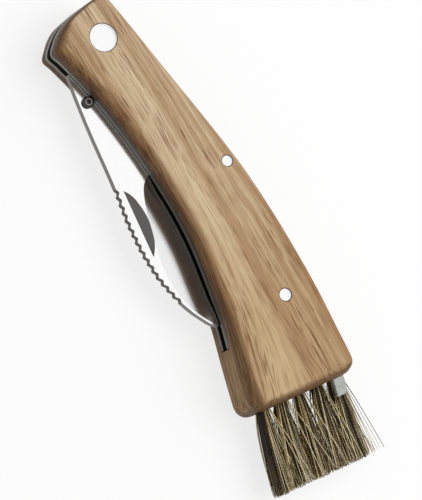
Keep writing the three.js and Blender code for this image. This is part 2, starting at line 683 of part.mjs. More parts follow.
// Sprung steel strip folded into two legs
function tweezersStrip() {
  const outer = STRIP_HEIGHT / 2;
  const inner = outer - STRIP_THICKNESS;
  const start = stripEnd - STRIP_LENGTH;
  const bend = stripEnd - outer;
  const tip = TIP_OPENING / 2;
  const points = [[start, -tip - STRIP_THICKNESS], [start + LEG_TAPER, -outer], [bend, -outer]];
  for (let i = 1; i < ROUND_STEPS; i++) {
    const angle = (Math.PI * i) / ROUND_STEPS - Math.PI / 2;
    points.push([bend + outer * Math.cos(angle), outer * Math.sin(angle)]);
  }
  points.push([bend, outer], [start + LEG_TAPER, outer], [start, tip + STRIP_THICKNESS]);
  points.push([start, tip], [start + LEG_TAPER, inner], [bend, inner]);
  for (let i = 1; i < ROUND_STEPS; i++) {
    const angle = Math.PI / 2 - (Math.PI * i) / ROUND_STEPS;
    points.push([bend + inner * Math.cos(angle), inner * Math.sin(angle)]);
  }
  points.push([bend, -inner], [start + LEG_TAPER, -inner], [start, -tip]);
  const flat = points.map(([x, z]) => new THREE.Vector2(x, z));
  return sideways(flat, STRIP_WIDTH).translate(0, 0, GRIP_THICKNESS / 2);
}

// Plastic head moulded over the fold of the strip
function tweezersHead() {
  const start = GRIP_OUT - GRIP_LENGTH;
  const top = GRIP_THICKNESS;
  const low = (GRIP_THICKNESS - GRIP_END_THICKNESS) / 2;
  const side = [
    [start, 0], [0, 0], [GRIP_OUT, low], [GRIP_OUT, top - low], [0, top], [start, top],
  ].map(([x, z]) => new THREE.Vector2(x, z));
  const half = GRIP_WIDTH / 2;
  const mouthBack = new THREE.Vector2(0, half);
  const endBack = new THREE.Vector2(GRIP_OUT, half - GRIP_LEAN);
  const endBelly = new THREE.Vector2(GRIP_OUT, -half - GRIP_LEAN);
  const plan = [
    new THREE.Vector2(start, -half),
    new THREE.Vector2(0, -half),
    endBelly,
    ...roundCorner(endBelly, endBack, mouthBack, GRIP_CORNER),
    mouthBack,
    new THREE.Vector2(start, half),
  ];
  const pocketLength = stripEnd + SLOT_FIT - start + OVERRUN;
  const pocket = new THREE.BoxGeometry(
    pocketLength,
    STRIP_WIDTH + 2 * SLOT_FIT,
    STRIP_HEIGHT + 2 * SLOT_FIT,
  );
  pocket.translate(start - OVERRUN + pocketLength / 2, 0, GRIP_THICKNESS / 2);
  const solid = solidOf(sideways(side, GRIP_WIDTH + 2 * GRIP_LEAN))
    .intersect(plate(plan, -OVERRUN, GRIP_THICKNESS + 2 * OVERRUN))
    .subtract(solidOf(pocket));
  return geometryOf(solid);
}

const knife = new THREE.Group();

function addMesh(name, geometry, finish, parent = knife) {
  const mesh = new THREE.Mesh(geometry, new THREE.MeshStandardMaterial(finish));
  mesh.name = name;
  parent.add(mesh);
  return mesh;
}

addMesh("rear_scale", geometryOf(scale(false)), wood);
addMesh("front_scale", geometryOf(scale(true).subtract(tweezersSlot())), wood);
addMesh("rear_liner", geometryOf(liner(REAR_LINER_Z)), steel);
addMesh("front_liner", geometryOf(liner(FRONT_LINER_Z)), steel);
addMesh("back_spring", geometryOf(backSpring()), spring);
addMesh("brush_block", geometryOf(brushBlock()), darkWood);
addMesh("blade", geometryOf(blade()), bright);
addMesh("closing_stop_pin", geometryOf(stopPinSolid()), spring);
addMesh("rear_washer", geometryOf(washer(SLOT_Z + RUNNING_GAP)), bronze);
addMesh("front_washer", geometryOf(washer(FRONT_LINER_Z - RUNNING_GAP - WASHER_THICKNESS)), bronze);
addMesh("pivot_rivet_tube", geometryOf(rivetTube()), bright);
addMesh("pivot_rivet_shank", geometryOf(rivetShank()), bright);
const pinTop = HANDLE_THICKNESS - PIN_INSET;
addMesh("spring_pin", geometryOf(cylinder(SPRING_PIN_RADIUS, PIN_INSET, pinTop, springPin)), bright);
addMesh("tail_pin", geometryOf(cylinder(TAIL_PIN_RADIUS, PIN_INSET, pinTop, tailPin)), bright);
for (let i = 0; i < TUFT_COUNT; i++) {
  addMesh(`anchor_wire_${i + 1}`, geometryOf(anchorWire(i)), steel);
}
// Each tuft has its own node but the last two, which share one
for (let i = 0; i < TUFT_COUNT - 2; i++) {
  addMesh(`tuft_${i + 1}`, geometryOf(tufts(i, i)), bristle);
}
addMesh("tufts_at_back", geometryOf(tufts(TUFT_COUNT - 2, TUFT_COUNT - 1)), bristle);
addMesh("tweezers_strip", tweezersStrip(), steel, tweezersFrame);
addMesh("tweezers_head", tweezersHead(), plastic, tweezersFrame);
knife.add(tweezersFrame);

// The part's origin is the middle of its bounding box, at its base
const bounds = new THREE.Box3().setFromObject(knife);
const middle = bounds.getCenter(new THREE.Vector3());
knife.position.set(-middle.x, -middle.y, 0);
const part = new THREE.Group();
part.add(knife);

export default part;
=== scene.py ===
# Folding mushroom knife, closed, lying on its rear side on a pale floor.
# Metres. X runs from the blade's pivot to the brush, +Y is the handle's back, +Z the front face.
import json
import math
import random

import bmesh
import bpy
from mathutils import Matrix, Vector


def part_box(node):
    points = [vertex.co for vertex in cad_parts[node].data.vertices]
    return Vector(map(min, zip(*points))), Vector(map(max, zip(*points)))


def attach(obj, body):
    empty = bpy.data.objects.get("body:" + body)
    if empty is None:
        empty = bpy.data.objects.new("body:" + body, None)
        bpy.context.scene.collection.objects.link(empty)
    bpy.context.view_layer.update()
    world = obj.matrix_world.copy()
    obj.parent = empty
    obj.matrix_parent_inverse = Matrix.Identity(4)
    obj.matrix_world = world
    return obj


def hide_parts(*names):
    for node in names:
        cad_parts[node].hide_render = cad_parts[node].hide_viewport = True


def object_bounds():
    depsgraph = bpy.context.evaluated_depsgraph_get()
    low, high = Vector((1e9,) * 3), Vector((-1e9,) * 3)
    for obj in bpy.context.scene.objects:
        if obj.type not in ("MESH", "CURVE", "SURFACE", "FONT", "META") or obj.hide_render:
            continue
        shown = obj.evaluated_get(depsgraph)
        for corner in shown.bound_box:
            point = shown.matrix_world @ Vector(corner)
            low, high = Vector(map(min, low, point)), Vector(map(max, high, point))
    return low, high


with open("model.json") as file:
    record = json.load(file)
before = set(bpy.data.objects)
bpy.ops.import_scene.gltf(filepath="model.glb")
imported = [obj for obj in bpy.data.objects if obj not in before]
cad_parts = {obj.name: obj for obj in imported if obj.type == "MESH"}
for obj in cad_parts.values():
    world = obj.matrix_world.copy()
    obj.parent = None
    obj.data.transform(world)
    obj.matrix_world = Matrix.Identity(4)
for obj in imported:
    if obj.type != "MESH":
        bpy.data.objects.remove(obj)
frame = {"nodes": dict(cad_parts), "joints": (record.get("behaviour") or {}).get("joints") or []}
cad_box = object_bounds()

# Camera
# It stands at the photograph's viewing angle: it looks down on the front face from the belly side, and is
# rolled so that the brush points down.
MM = 0.001
JOINTS = {joint["name"]: joint for joint in frame["joints"]}
PIVOT = Vector(JOINTS["blade_hinge"]["pos_m"])
HANDLE_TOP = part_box("front_scale")[1].z
PICTURE_SIZE = (422, 500)
PIXELS_PER_MM = 3.9
PIVOT_PIXEL = (103.54, 37.36)
VIEW_TILT = math.radians(25)
VIEW_ROLL = math.radians(61)
CAMERA_DISTANCE = 1.3
SENSOR_HEIGHT = 24

pixel = MM / PIXELS_PER_MM
tilted_up = Vector((0, math.cos(VIEW_TILT), math.sin(VIEW_TILT)))
along = Vector((1, 0, 0))
towards_camera = along.cross(tilted_up)
picture_right = along * math.cos(VIEW_ROLL) + tilted_up * math.sin(VIEW_ROLL)
picture_up = tilted_up * math.cos(VIEW_ROLL) - along * math.sin(VIEW_ROLL)
target = Vector((PIVOT.x, PIVOT.y, HANDLE_TOP))
target += picture_right * (PICTURE_SIZE[0] / 2 - PIVOT_PIXEL[0]) * pixel
target -= picture_up * (PICTURE_SIZE[1] / 2 - PIVOT_PIXEL[1]) * pixel
camera = bpy.data.objects.new("camera", bpy.data.cameras.new("camera"))
axes = Matrix((picture_right, picture_up, towards_camera)).transposed()
camera.matrix_world = Matrix.Translation(target + towards_camera * CAMERA_DISTANCE) @ axes.to_4x4()
camera.data.sensor_fit = "VERTICAL"
camera.data.sensor_height = SENSOR_HEIGHT
camera.data.lens = SENSOR_HEIGHT * CAMERA_DISTANCE / (PICTURE_SIZE[1] * pixel)
bpy.context.scene.collection.objects.link(camera)
bpy.context.scene.camera = camera
bpy.context.scene.view_settings.view_transform = "Standard"

# Floor and light
# A pale floor that keeps the knife's soft shadow, a pale sky that is brightest overhead, and one wide
# soft lamp that leans over the handle's back.
FLOOR_SIZE = 6.0
FLOOR_BOUNCE = (0.36, 0.36, 0.36, 1)
FLOOR_GLOW_SHARE = 0.78
SKY_STRENGTH = 0.30
SKY_LOW_STRENGTH = 0.62
SKY_FADE = (0.78, 0.895)
LAMP_PLACE = Vector((0.15, 0.75, 1.15))
LAMP_SIZE = 1.5
LAMP_POWER = 19.5
WHITE = (1, 1, 1, 1)


def seen_directly(tree):
    """One for the camera's rays and for mirrored and refracted ones."""
    ray = tree.nodes.new("ShaderNodeLightPath")
    widest = ray.outputs["Is Camera Ray"]
    for kind in ("Is Glossy Ray", "Is Transmission Ray"):
        either = tree.nodes.new("ShaderNodeMath")
        either.operation = "MAXIMUM"
        tree.links.new(widest, either.inputs[0])
        tree.links.new(ray.outputs[kind], either.inputs[1])
        widest = either.outputs[0]
    return widest


def mixed(tree, share, one, other):
    node = tree.nodes.new("ShaderNodeMixShader")
    if isinstance(share, float):
        node.inputs[0].default_value = share
    else:
        tree.links.new(share, node.inputs[0])
    tree.links.new(one, node.inputs[1])
    tree.links.new(other, node.inputs[2])
    return node.outputs[0]


def plain(tree, kind, tone, strength=None):
    """A shader of one even tone, with one strength if it shines."""
    node = tree.nodes.new("ShaderNode" + kind)
    node.inputs["Color"].default_value = tone
    if strength is not None:
        node.inputs["Strength"].default_value = strength
    return node.outputs[0]


half = FLOOR_SIZE / 2
corners = [(-half, -half, 0), (half, -half, 0), (half, half, 0), (-half, half, 0)]
floor_mesh = bpy.data.meshes.new("floor")
floor_mesh.from_pydata(corners, [], [(0, 1, 2, 3)])
floor = bpy.data.objects.new("floor", floor_mesh)
bpy.context.scene.collection.objects.link(floor)
floor_paint = bpy.data.materials.new("pale_floor")
floor_paint.use_nodes = True
floor_mesh.materials.append(floor_paint)
tree = floor_paint.node_tree
tree.nodes.remove(tree.nodes["Principled BSDF"])
bounce = plain(tree, "BsdfDiffuse", FLOOR_BOUNCE)
shaded = plain(tree, "BsdfDiffuse", WHITE)
glow = plain(tree, "Emission", WHITE, 1.0)
shown = mixed(tree, FLOOR_GLOW_SHARE, shaded, glow)
paint = mixed(tree, seen_directly(tree), bounce, shown)
tree.links.new(paint, tree.nodes["Material Output"].inputs[0])

sky = bpy.data.worlds.new("sky")
sky.use_nodes = True
bpy.context.scene.world = sky
tree = sky.node_tree
tree.nodes.remove(tree.nodes["Background"])
even = plain(tree, "Background", WHITE, SKY_STRENGTH)
mirrored = plain(tree, "Background", WHITE)
backdrop = plain(tree, "Background", WHITE, 1.0)
direction = tree.nodes.new("ShaderNodeTexCoord")
height = tree.nodes.new("ShaderNodeSeparateXYZ")
tree.links.new(direction.outputs["Generated"], height.inputs[0])
fade = tree.nodes.new("ShaderNodeMapRange")
fade.interpolation_type = "SMOOTHSTEP"
for socket, value in zip(fade.inputs[1:5], (*SKY_FADE, SKY_LOW_STRENGTH, 1.0)):
    socket.default_value = value
tree.links.new(height.outputs[2], fade.inputs[0])
tree.links.new(fade.outputs[0], mirrored.node.inputs["Strength"])
camera_ray = tree.nodes.new("ShaderNodeLightPath").outputs["Is Camera Ray"]
bright_sky = mixed(tree, camera_ray, mirrored, backdrop)
whole_sky = mixed(tree, seen_directly(tree), even, bright_sky)
tree.links.new(whole_sky, tree.nodes["World Output"].inputs[0])

lamp = bpy.data.objects.new("soft_lamp", bpy.data.lights.new("soft_lamp", "AREA"))
lamp.data.size = LAMP_SIZE
lamp.data.energy = LAMP_POWER
lamp.location = LAMP_PLACE
lamp.rotation_euler = LAMP_PLACE.to_track_quat("Z", "Y").to_euler()
lamp.visible_glossy = False
bpy.context.scene.collection.objects.link(lamp)

# Wooden scales
# Two slabs of oiled hardwood with rounded outer edges, pinned to both sides of the steel frame.
# The front one has a slot for the tweezers milled in its inner face, open at the brush end.
EDGE_ROUND = 3 * MM
BACK_ROUND = 1.1 * MM
# The rounding shrinks where the outline faces this way, towards the back and the head
BACK_SIDE = (-0.6, 0.8)
BACK_SIDE_FROM = -0.1
BACK_SIDE_FULL = 0.3
ROUND_STEPS = 10
SOFTENING = 10
INNER_CHAMFER = 0.15 * MM
FLAT_MARGIN = 0.05 * MM
PIN_FIT = 0.1 * MM
HOLE_CHAMFER = 0.06 * MM
HOLE_SIDES = 48
RECESS_DEPTH = 1.3 * MM
PIVOT_HOLE_RADIUS = 2.5 * MM
GRIP_WIDTH = 3.4 * MM
SLOT_FIT = 0.12 * MM
SLOT_END_GAP = 0.6 * MM
WELD = 0.1e-6
LEVEL_NORMAL = 0.999
LEVEL_FIT = 1e-6
CURVE_STEPS = 4
SHARP_TURN = math.radians(65)
SHARP_EDGE = math.radians(30)
SCALES = {"rear_scale": -1, "front_scale": 1}
UP = Vector((0, 0, 1))
SLIDE_WAY = Vector(JOINTS["tweezers_slide"]["axis"])
SLIDE_SIDE = Vector((-SLIDE_WAY.y, SLIDE_WAY.x, 0))


def loops_at(node, level):
    """The rims of a node's flat faces at one height, longest first, with the material on their left."""
    mesh = bmesh.new()
    mesh.from_mesh(frame["nodes"][node].data)
    bmesh.ops.remove_doubles(mesh, verts=mesh.verts, dist=WELD)
    flat = {
        face for face in mesh.faces
        if abs(face.normal.z) > LEVEL_NORMAL and abs(face.calc_center_median().z - level) < LEVEL_FIT
    }
    after = {}
    for face in flat:
        for corner in face.loops:
            if all(other in flat for other in corner.edge.link_faces):
                continue
            start, end = corner.vert, corner.link_loop_next.vert
            if face.normal.z < 0:
                start, end = end, start
            after[start] = end
    loops = []
    while after:
        here = next(iter(after))
        loop = []
        while here in after:
            loop.append(Vector((here.co.x, here.co.y)))
            here = after.pop(here)
        loops.append(loop)
    mesh.free()
    return sorted(loops, key=length_of, reverse=True)


def length_of(loop):
    return sum((b - a).length for a, b in zip(loop, loop[1:] + loop[:1]))


def on_curve(t, start, leaving, end, arriving):
    """A place on the smooth curve between two others that leaves and arrives in the given directions."""
    return (start * (2 * t**3 - 3 * t**2 + 1) + leaving * (t**3 - 2 * t**2 + t)
            + end * (3 * t**2 - 2 * t**3) + arriving * (t**3 - t**2))


def clamped(value, low=0.0, high=1.0):
    return min(max(value, low), high)


def eased(value, low, high):
    """From zero to one between two values, level at both ends."""
    share = clamped((value - low) / (high - low))
    return share * share * (3 - 2 * share)


def refined(loop):
    """The line with more points, curved through its vertices unless they turn sharply, and no wider."""
    count = len(loop)
    leaving, arriving = [], []
    for i, here in enumerate(loop):
        before, after = here - loop[i - 1], loop[(i + 1) % count] - here
        if before.angle(after) > SHARP_TURN:
            leaving.append(after)
            arriving.append(before)
            continue
        way = before.normalized() * after.length + after.normalized() * before.length
        way = way.normalized() * min(before.length, after.length)
        leaving.append(way)
        arriving.append(way)
    points = []
    for i, here in enumerate(loop):
        j = (i + 1) % count
        for step in range(CURVE_STEPS):
            points.append(on_curve(step / CURVE_STEPS, here, leaving[i], loop[j], arriving[j]))
    lowest, highest = min(p.y for p in loop), max(p.y for p in loop)
    for point in points:
        point.y = clamped(point.y, lowest, highest)
    return points


def drawn_in(loop, distance):
    """The loop moved into the material on its left, by one distance or by one for each point."""
    distances = distance if isinstance(distance, list) else [distance] * len(loop)
    moved = []
    for i, here in enumerate(loop):
        before = (here - loop[i - 1]).normalized()
        after = (loop[(i + 1) % len(loop)] - here).normalized()
        inward = Vector((-before.y - after.y, before.x + after.x))
        moved.append(here + inward * distances[i] / (1 + before.dot(after)))
    return moved


def roundings(loop):
    """The wood's rounding at each point: small where the outline faces the back or the head."""
    found = []
    for i in range(len(loop)):
        run = (loop[(i + 1) % len(loop)] - loop[i - 1]).normalized()
        facing = run.y * BACK_SIDE[0] - run.x * BACK_SIDE[1]
        share = eased(facing, BACK_SIDE_FROM, BACK_SIDE_FULL)
        found.append(EDGE_ROUND + (BACK_ROUND - EDGE_ROUND) * share)
    return found


def level_ring(loop, z):
    return [Vector((point.x, point.y, z)) for point in loop]


def rings_round(centre, profile, sides=HOLE_SIDES, turn=1):
    """Level circles round an upright axis, one for each radius and height."""
    angles = [turn * 2 * math.pi * i / sides for i in range(sides)]
    return [
        [Vector((centre.x + radius * math.cos(a), centre.y + radius * math.sin(a), z)) for a in angles]
        for radius, z in profile
    ]


def broken_edges(low, high, size):
    """Heights and insets of an upright wall that has a small chamfer at both edges."""
    return [(low, size), (low + size, 0), (high - size, 0), (high, size)]


def creased(obj):
    """Smooth shading, with a crease at sharp edges and where two finishes meet."""
    mesh = bmesh.new()
    mesh.from_mesh(obj.data)
    for face in mesh.faces:
        face.smooth = True
    for edge in mesh.edges:
        faces = edge.link_faces
        meet = len(faces) == 2 and faces[0].material_index != faces[1].material_index
        edge.smooth = not (meet or edge.calc_face_angle(math.pi) > SHARP_EDGE)
    mesh.to_mesh(obj.data)
    mesh.free()
    return obj


def piece(name, mesh, finishes):
    """A new object from a bmesh, with its finishes in their slots."""
    data = bpy.data.meshes.new(name)
    mesh.to_mesh(data)
    mesh.free()
    for finish in finishes:
        data.materials.append(finish)
    obj = bpy.data.objects.new(name, data)
    bpy.context.scene.collection.objects.link(obj)
    return creased(obj)


def joined_rows(mesh, rows):
    """Four-sided faces from each closed row of vertices to the next one."""
    faces = []
    for lower, upper in zip(rows, rows[1:]):
        for i in range(len(lower)):
            j = (i + 1) % len(lower)
            faces.append(mesh.faces.new((lower[i], lower[j], upper[j], upper[i])))
    return faces


def lofted(name, rings, finishes):
    """A closed piece over a row of rings, with one flat face at each end."""
    mesh = bmesh.new()
    rows = [[mesh.verts.new(point) for point in ring] for ring in rings]
    joined_rows(mesh, rows)
    mesh.faces.new(rows[0])
    mesh.faces.new(rows[-1])
    bmesh.ops.recalc_face_normals(mesh, faces=mesh.faces)
    return piece(name, mesh, finishes)


def solid(name, stacks, finishes):
    """A closed piece from stacks of level rings, with flat caps over every rim that is left open."""
    mesh = bmesh.new()
    for rings in stacks:
        joined_rows(mesh, [[mesh.verts.new(point) for point in ring] for ring in rings])
    rims = {}
    for edge in mesh.edges:
        if edge.is_boundary:
            rims.setdefault(round(edge.verts[0].co.z / WELD), []).append(edge)
    for rim in rims.values():
        bmesh.ops.triangle_fill(mesh, edges=rim, use_beauty=True, use_dissolve=False)
    bmesh.ops.recalc_face_normals(mesh, faces=mesh.faces)
    return piece(name, mesh, finishes)


def cut(obj, cutters):
    """Takes the cutters out of a piece. The cut faces get the cutter's finish."""
    for cutter in cutters:
        modifier = obj.modifiers.new("cut", "BOOLEAN")
        modifier.operation = "DIFFERENCE"
        modifier.solver = "EXACT"
        modifier.material_mode = "TRANSFER"
        modifier.object = cutter
    whole = obj.evaluated_get(bpy.context.evaluated_depsgraph_get())
    data = bpy.data.meshes.new_from_object(whole)
    obj.modifiers.clear()
    obj.data = data
    for cutter in cutters:
        bpy.data.objects.remove(cutter)
    return creased(obj)


def fitted(obj, body, slot, *nodes):
    """The piece moves with its body and stands for its nodes, which are hidden. The slot is not used."""
    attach(obj, body)
    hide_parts(*nodes)
    return obj


def colour(code):
    """A colour as it looks, such as c8a97e, in the shader's own scale."""
    parts = [int(code[i:i + 2], 16) / 255 for i in (0, 2, 4)]
    return tuple(p / 12.92 if p <= 0.04045 else ((p + 0.055) / 1.055) ** 2.4 for p in parts) + (1,)


class Finish:
    """One finish made of shader nodes. Each call adds a node and gives back its output."""

    def __init__(self, name):
        self.material = bpy.data.materials.new(name)
        self.material.use_nodes = True
        self.tree = self.material.node_tree
        self.shader = self.tree.nodes["Principled BSDF"]
        self.place = self.stretched(self.add("TexCoord", out="Object"), 1 / MM)

    def add(self, kind, *values, out=0, **settings):
        node = self.tree.nodes.new("ShaderNode" + kind)
        for key, value in settings.items():
            setattr(node, key, value)
        for socket, value in zip(node.inputs, values):
            self.feed(socket, value)
        return node.outputs[out]

    def feed(self, socket, value):
        """Links another node's output to a socket, or sets the socket to a value or a colour code."""
        if isinstance(value, bpy.types.NodeSocket):
            self.tree.links.new(value, socket)
        elif value is not None:
            socket.default_value = colour(value) if isinstance(value, str) else value

    def maths(self, operation, *values):
        return self.add("Math", *values, operation=operation)

    def plus(self, one, other):
        return self.maths("ADD", one, other)

    def minus(self, one, other):
        return self.maths("SUBTRACT", one, other)

    def times(self, product, *factors):
        for factor in factors:
            product = self.maths("MULTIPLY", product, factor)
        return product

    def parts(self, vector):
        node = self.add("SeparateXYZ", vector).node
        return node.outputs[0], node.outputs[1], node.outputs[2]

    def stretched(self, vector, factors):
        """The vector times one factor, or times one for each of its parts."""
        factors = factors if isinstance(factors, tuple) else (factors,) * 3
        return self.add("VectorMath", vector, factors, operation="MULTIPLY")

    def shifted(self, vector, shift):
        return self.add("VectorMath", vector, shift, operation="ADD")

    def from_axis(self, centre):
        """How far a spot is from an upright axis, in millimetres."""
        x, y, _ = self.parts(self.place)
        dx, dy = self.minus(x, centre.x / MM), self.minus(y, centre.y / MM)
        return self.maths("SQRT", self.plus(self.times(dx, dx), self.times(dy, dy)))

    def noise(self, vector, factors, detail=2.0, rough=0.5):
        """Cloudy noise around a half, finest across the largest factor."""
        return self.add("TexNoise", self.stretched(vector, factors), None, 1.0, detail, rough)

    def ranged(self, value, low, high, to_low, to_high):
        return self.add("MapRange", value, low, high, to_low, to_high)

    def between(self, value, low, high):
        """From zero to one between two values, level at both ends."""
        return self.add("MapRange", value, low, high, 0.0, 1.0, interpolation_type="SMOOTHSTEP")

    def streaks(self, vector, factors, window, detail=2.0, rough=0.5):
        """Streaks where the stretched noise rises through its window."""
        return self.between(self.noise(vector, factors, detail, rough), *window)

    def blend(self, share, one, other, way="MIX"):
        node = self.tree.nodes.new("ShaderNodeMix")
        node.data_type = "RGBA"
        node.blend_type = way
        self.feed(node.inputs[0], share)
        self.feed(node.inputs[6], one)
        self.feed(node.inputs[7], other)
        return node.outputs[2]

    def bands(self, value, stops):
        """Colours or shares at places along a value, which are given in the value's own unit."""
        low, high = stops[0][0], stops[-1][0]
        output = self.add("ValToRGB", self.ranged(value, low, high, 0.0, 1.0))
        elements = output.node.color_ramp.elements
        for i, (at, mark) in enumerate(stops):
            spot = (at - low) / (high - low)
            element = elements[i] if i < 2 else elements.new(spot)
            element.position = spot
            element.color = colour(mark) if isinstance(mark, str) else (mark, mark, mark, 1)
        return output

    def surface(self, **sockets):
        for key, value in sockets.items():
            self.feed(self.shader.inputs[key.replace("_", " ")], value)
        return self.material

    def bump(self, height, strength, distance):
        node = self.tree.nodes.new("ShaderNodeBump")
        node.inputs["Strength"].default_value = strength
        node.inputs["Distance"].default_value = distance
        self.feed(node.inputs["Height"], height)
        return node.outputs[0]


LAYERS_MIDDLE = HANDLE_TOP / 2
LINER_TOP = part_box("front_scale")[0].z
# Across the grain, in millimetres from the pivot: how pale each growth band of the slab is
SCALE_BANDS = [
    (-14, 0.02), (-9, 0.06), (-6.3, 0.3), (-4.6, 0.07), (-3.2, 0.5), (-1.5, 0.73), (1, 0.85), (3, 1),
    (4.6, 0.65), (6.2, 0.22), (7.6, 0.38), (8.6, 0.6), (10.4, 0.45), (11.4, 0.66), (12.6, 0.24),
    (13.8, 0.77), (15.4, 0.3), (16.6, 0.12), (20, 0.2),
]
SCALE_TONES = ("a6825e", "dcc7a6")
BLOCK_BANDS = [(-14, 0), (-11, 0.44), (-8, 0.14), (-2, 0.78), (6, 1), (12, 0.49), (20, 0.31)]
BLOCK_TONES = ("84704c", "bda47c")
SEED_STEPS = (31.7, 17.3, 5.9)
# The grain's course, in millimetres: the back drops towards the head, the belly bends towards the brush
BACK_RUN = 78.0
BACK_DROP = 10.4
BACK_LIFT = 1.3
BACK_REACH, BACK_FOLLOWED = (5.0, 15.0), 0.8
BELLY_MIDDLE = 50.0
BELLY_BEND = 0.0037
BELLY_REACH, BELLY_FOLLOWED = (7.0, -13.0), 0.9
HEAD_RUN = 22.0
HEAD_RISE = 0.08
LAYER_LEAN = 0.25
WARP_STRETCH, WARP_SIZE = (0.022, 0.09, 0.10), 2.2
GRAIN_LENGTH, GRAIN_DEPTH = 0.03, 0.4
# Broad streaks in the slab: their noise's stretch and window, their colour and strength
BROAD_STREAKS = (
    ((0.8, 0.8, 0.6), (0.45, 0.64), "b08c6c", 0.30),
    ((0.78, 1.69, 0.65), (0.50, 0.66), "e0cdac", 0.36),
)
# Thin lines: stretch, window, detail, roughness, strength outside and inside the patches, and shade
LINE_PATCHES = ((0.9, 0.28, 0.5), (0.42, 0.58))
THIN_LINES = (
    ((2.6, 1.7, 2.4), (0.575, 0.62), 2.0, 0.45, (0.15, 0.62), (0.50, 0.37, 0.30, 1)),
    ((5.0, 3.6, 4.0), (0.575, 0.62), 1.0, 0.40, (0.26, 0.70), (0.42, 0.30, 0.24, 1)),
)
PORES = ((5.0, 7.0, 6.0), (0.62, 0.70), 1.0)
PORE_SHADE, PORE_STRENGTH = (0.40, 0.30, 0.24, 1), 0.45
FIBRE_STRETCH, FIBRE_TONES, FIBRE_STRENGTH = (14.0, 16.0, 16.0), ("5a4230", "fff0d8"), 0.10
NOISE_WINDOW = (0.3, 0.7)
OILED_ROUGHNESS = (0.42, 0.58)
GRAIN_HEIGHT = 0.03 * MM
# The slab turns more golden towards the brush
GOLDEN_RUN, GOLDEN_SHADE = (40.0, 85.0), (0.86, 0.80, 0.69, 1)
# The dark growth zone: across the grain, along the handle, and where it wraps round the belly
ZONE_SIDES = ((-6.6, -5.2), (-2.9, -3.9))
ZONE_RUN, ZONE_TONE = (50.0, 66.0), "674a31"
ZONE_STRETCH, ZONE_STREAKS = (1.0, 2.4, 1.0), (0.35, 0.65, 0.55, 1.0)
WRAP_RUN, WRAP_DEPTH, WRAP_EDGE = (62.0, 76.0), (-3.6, -2.6), (0.4, -0.4)
WRAP_PLACE, WRAP_SLOPE, WRAP_WAVES = (73.0, -6.2), 0.142, 0.35
WRAP_TONES = ("6e5338", "967550")
# The oiled edges, partly painted shade: their stripes, the painted shade near the steel, the painted shade
# beside the liner, the pale tail
STRIPE_STRETCH = (1.0, 1.4, 4.5)
STRIPE_WINDOW = (0.36, 0.64)
BELLY_STRIPE = "a27c52"
EDGE_STRIPE = "5a3f28"
STEEL_DEPTH, STEEL_SHADE = (6.2, 2.6), (0.52, 0.48, 0.46, 1)
# A darker band on the belly wall just above the liner: painted shade where the wood meets the steel
LINER_SHADE_SIDES, LINER_SHADE_RUN = ((1.5, 0.9), (-0.4, 0.0)), (8.0, 16.0)
LINER_SHADE_TONE, LINER_SHADE_STRENGTH = "4e4a43", 0.85
TAIL_RUN, TAIL_TONES = (80.0, 90.0), ("a27a4c", "e4bd84")
# Where the surface has turned to the belly, the back and the ends, and how far oil and painted shade cover
# it there
BELLY_TURNS, BELLY_EDGE_STRENGTH = ((-0.10, -0.45), (-0.55, -0.85)), 0.75
BACK_TURN, BACK_EDGE_STRENGTH = (0.25, 0.8), 0.7
END_TURN, END_STRENGTH = (0.2, 0.75), 0.9


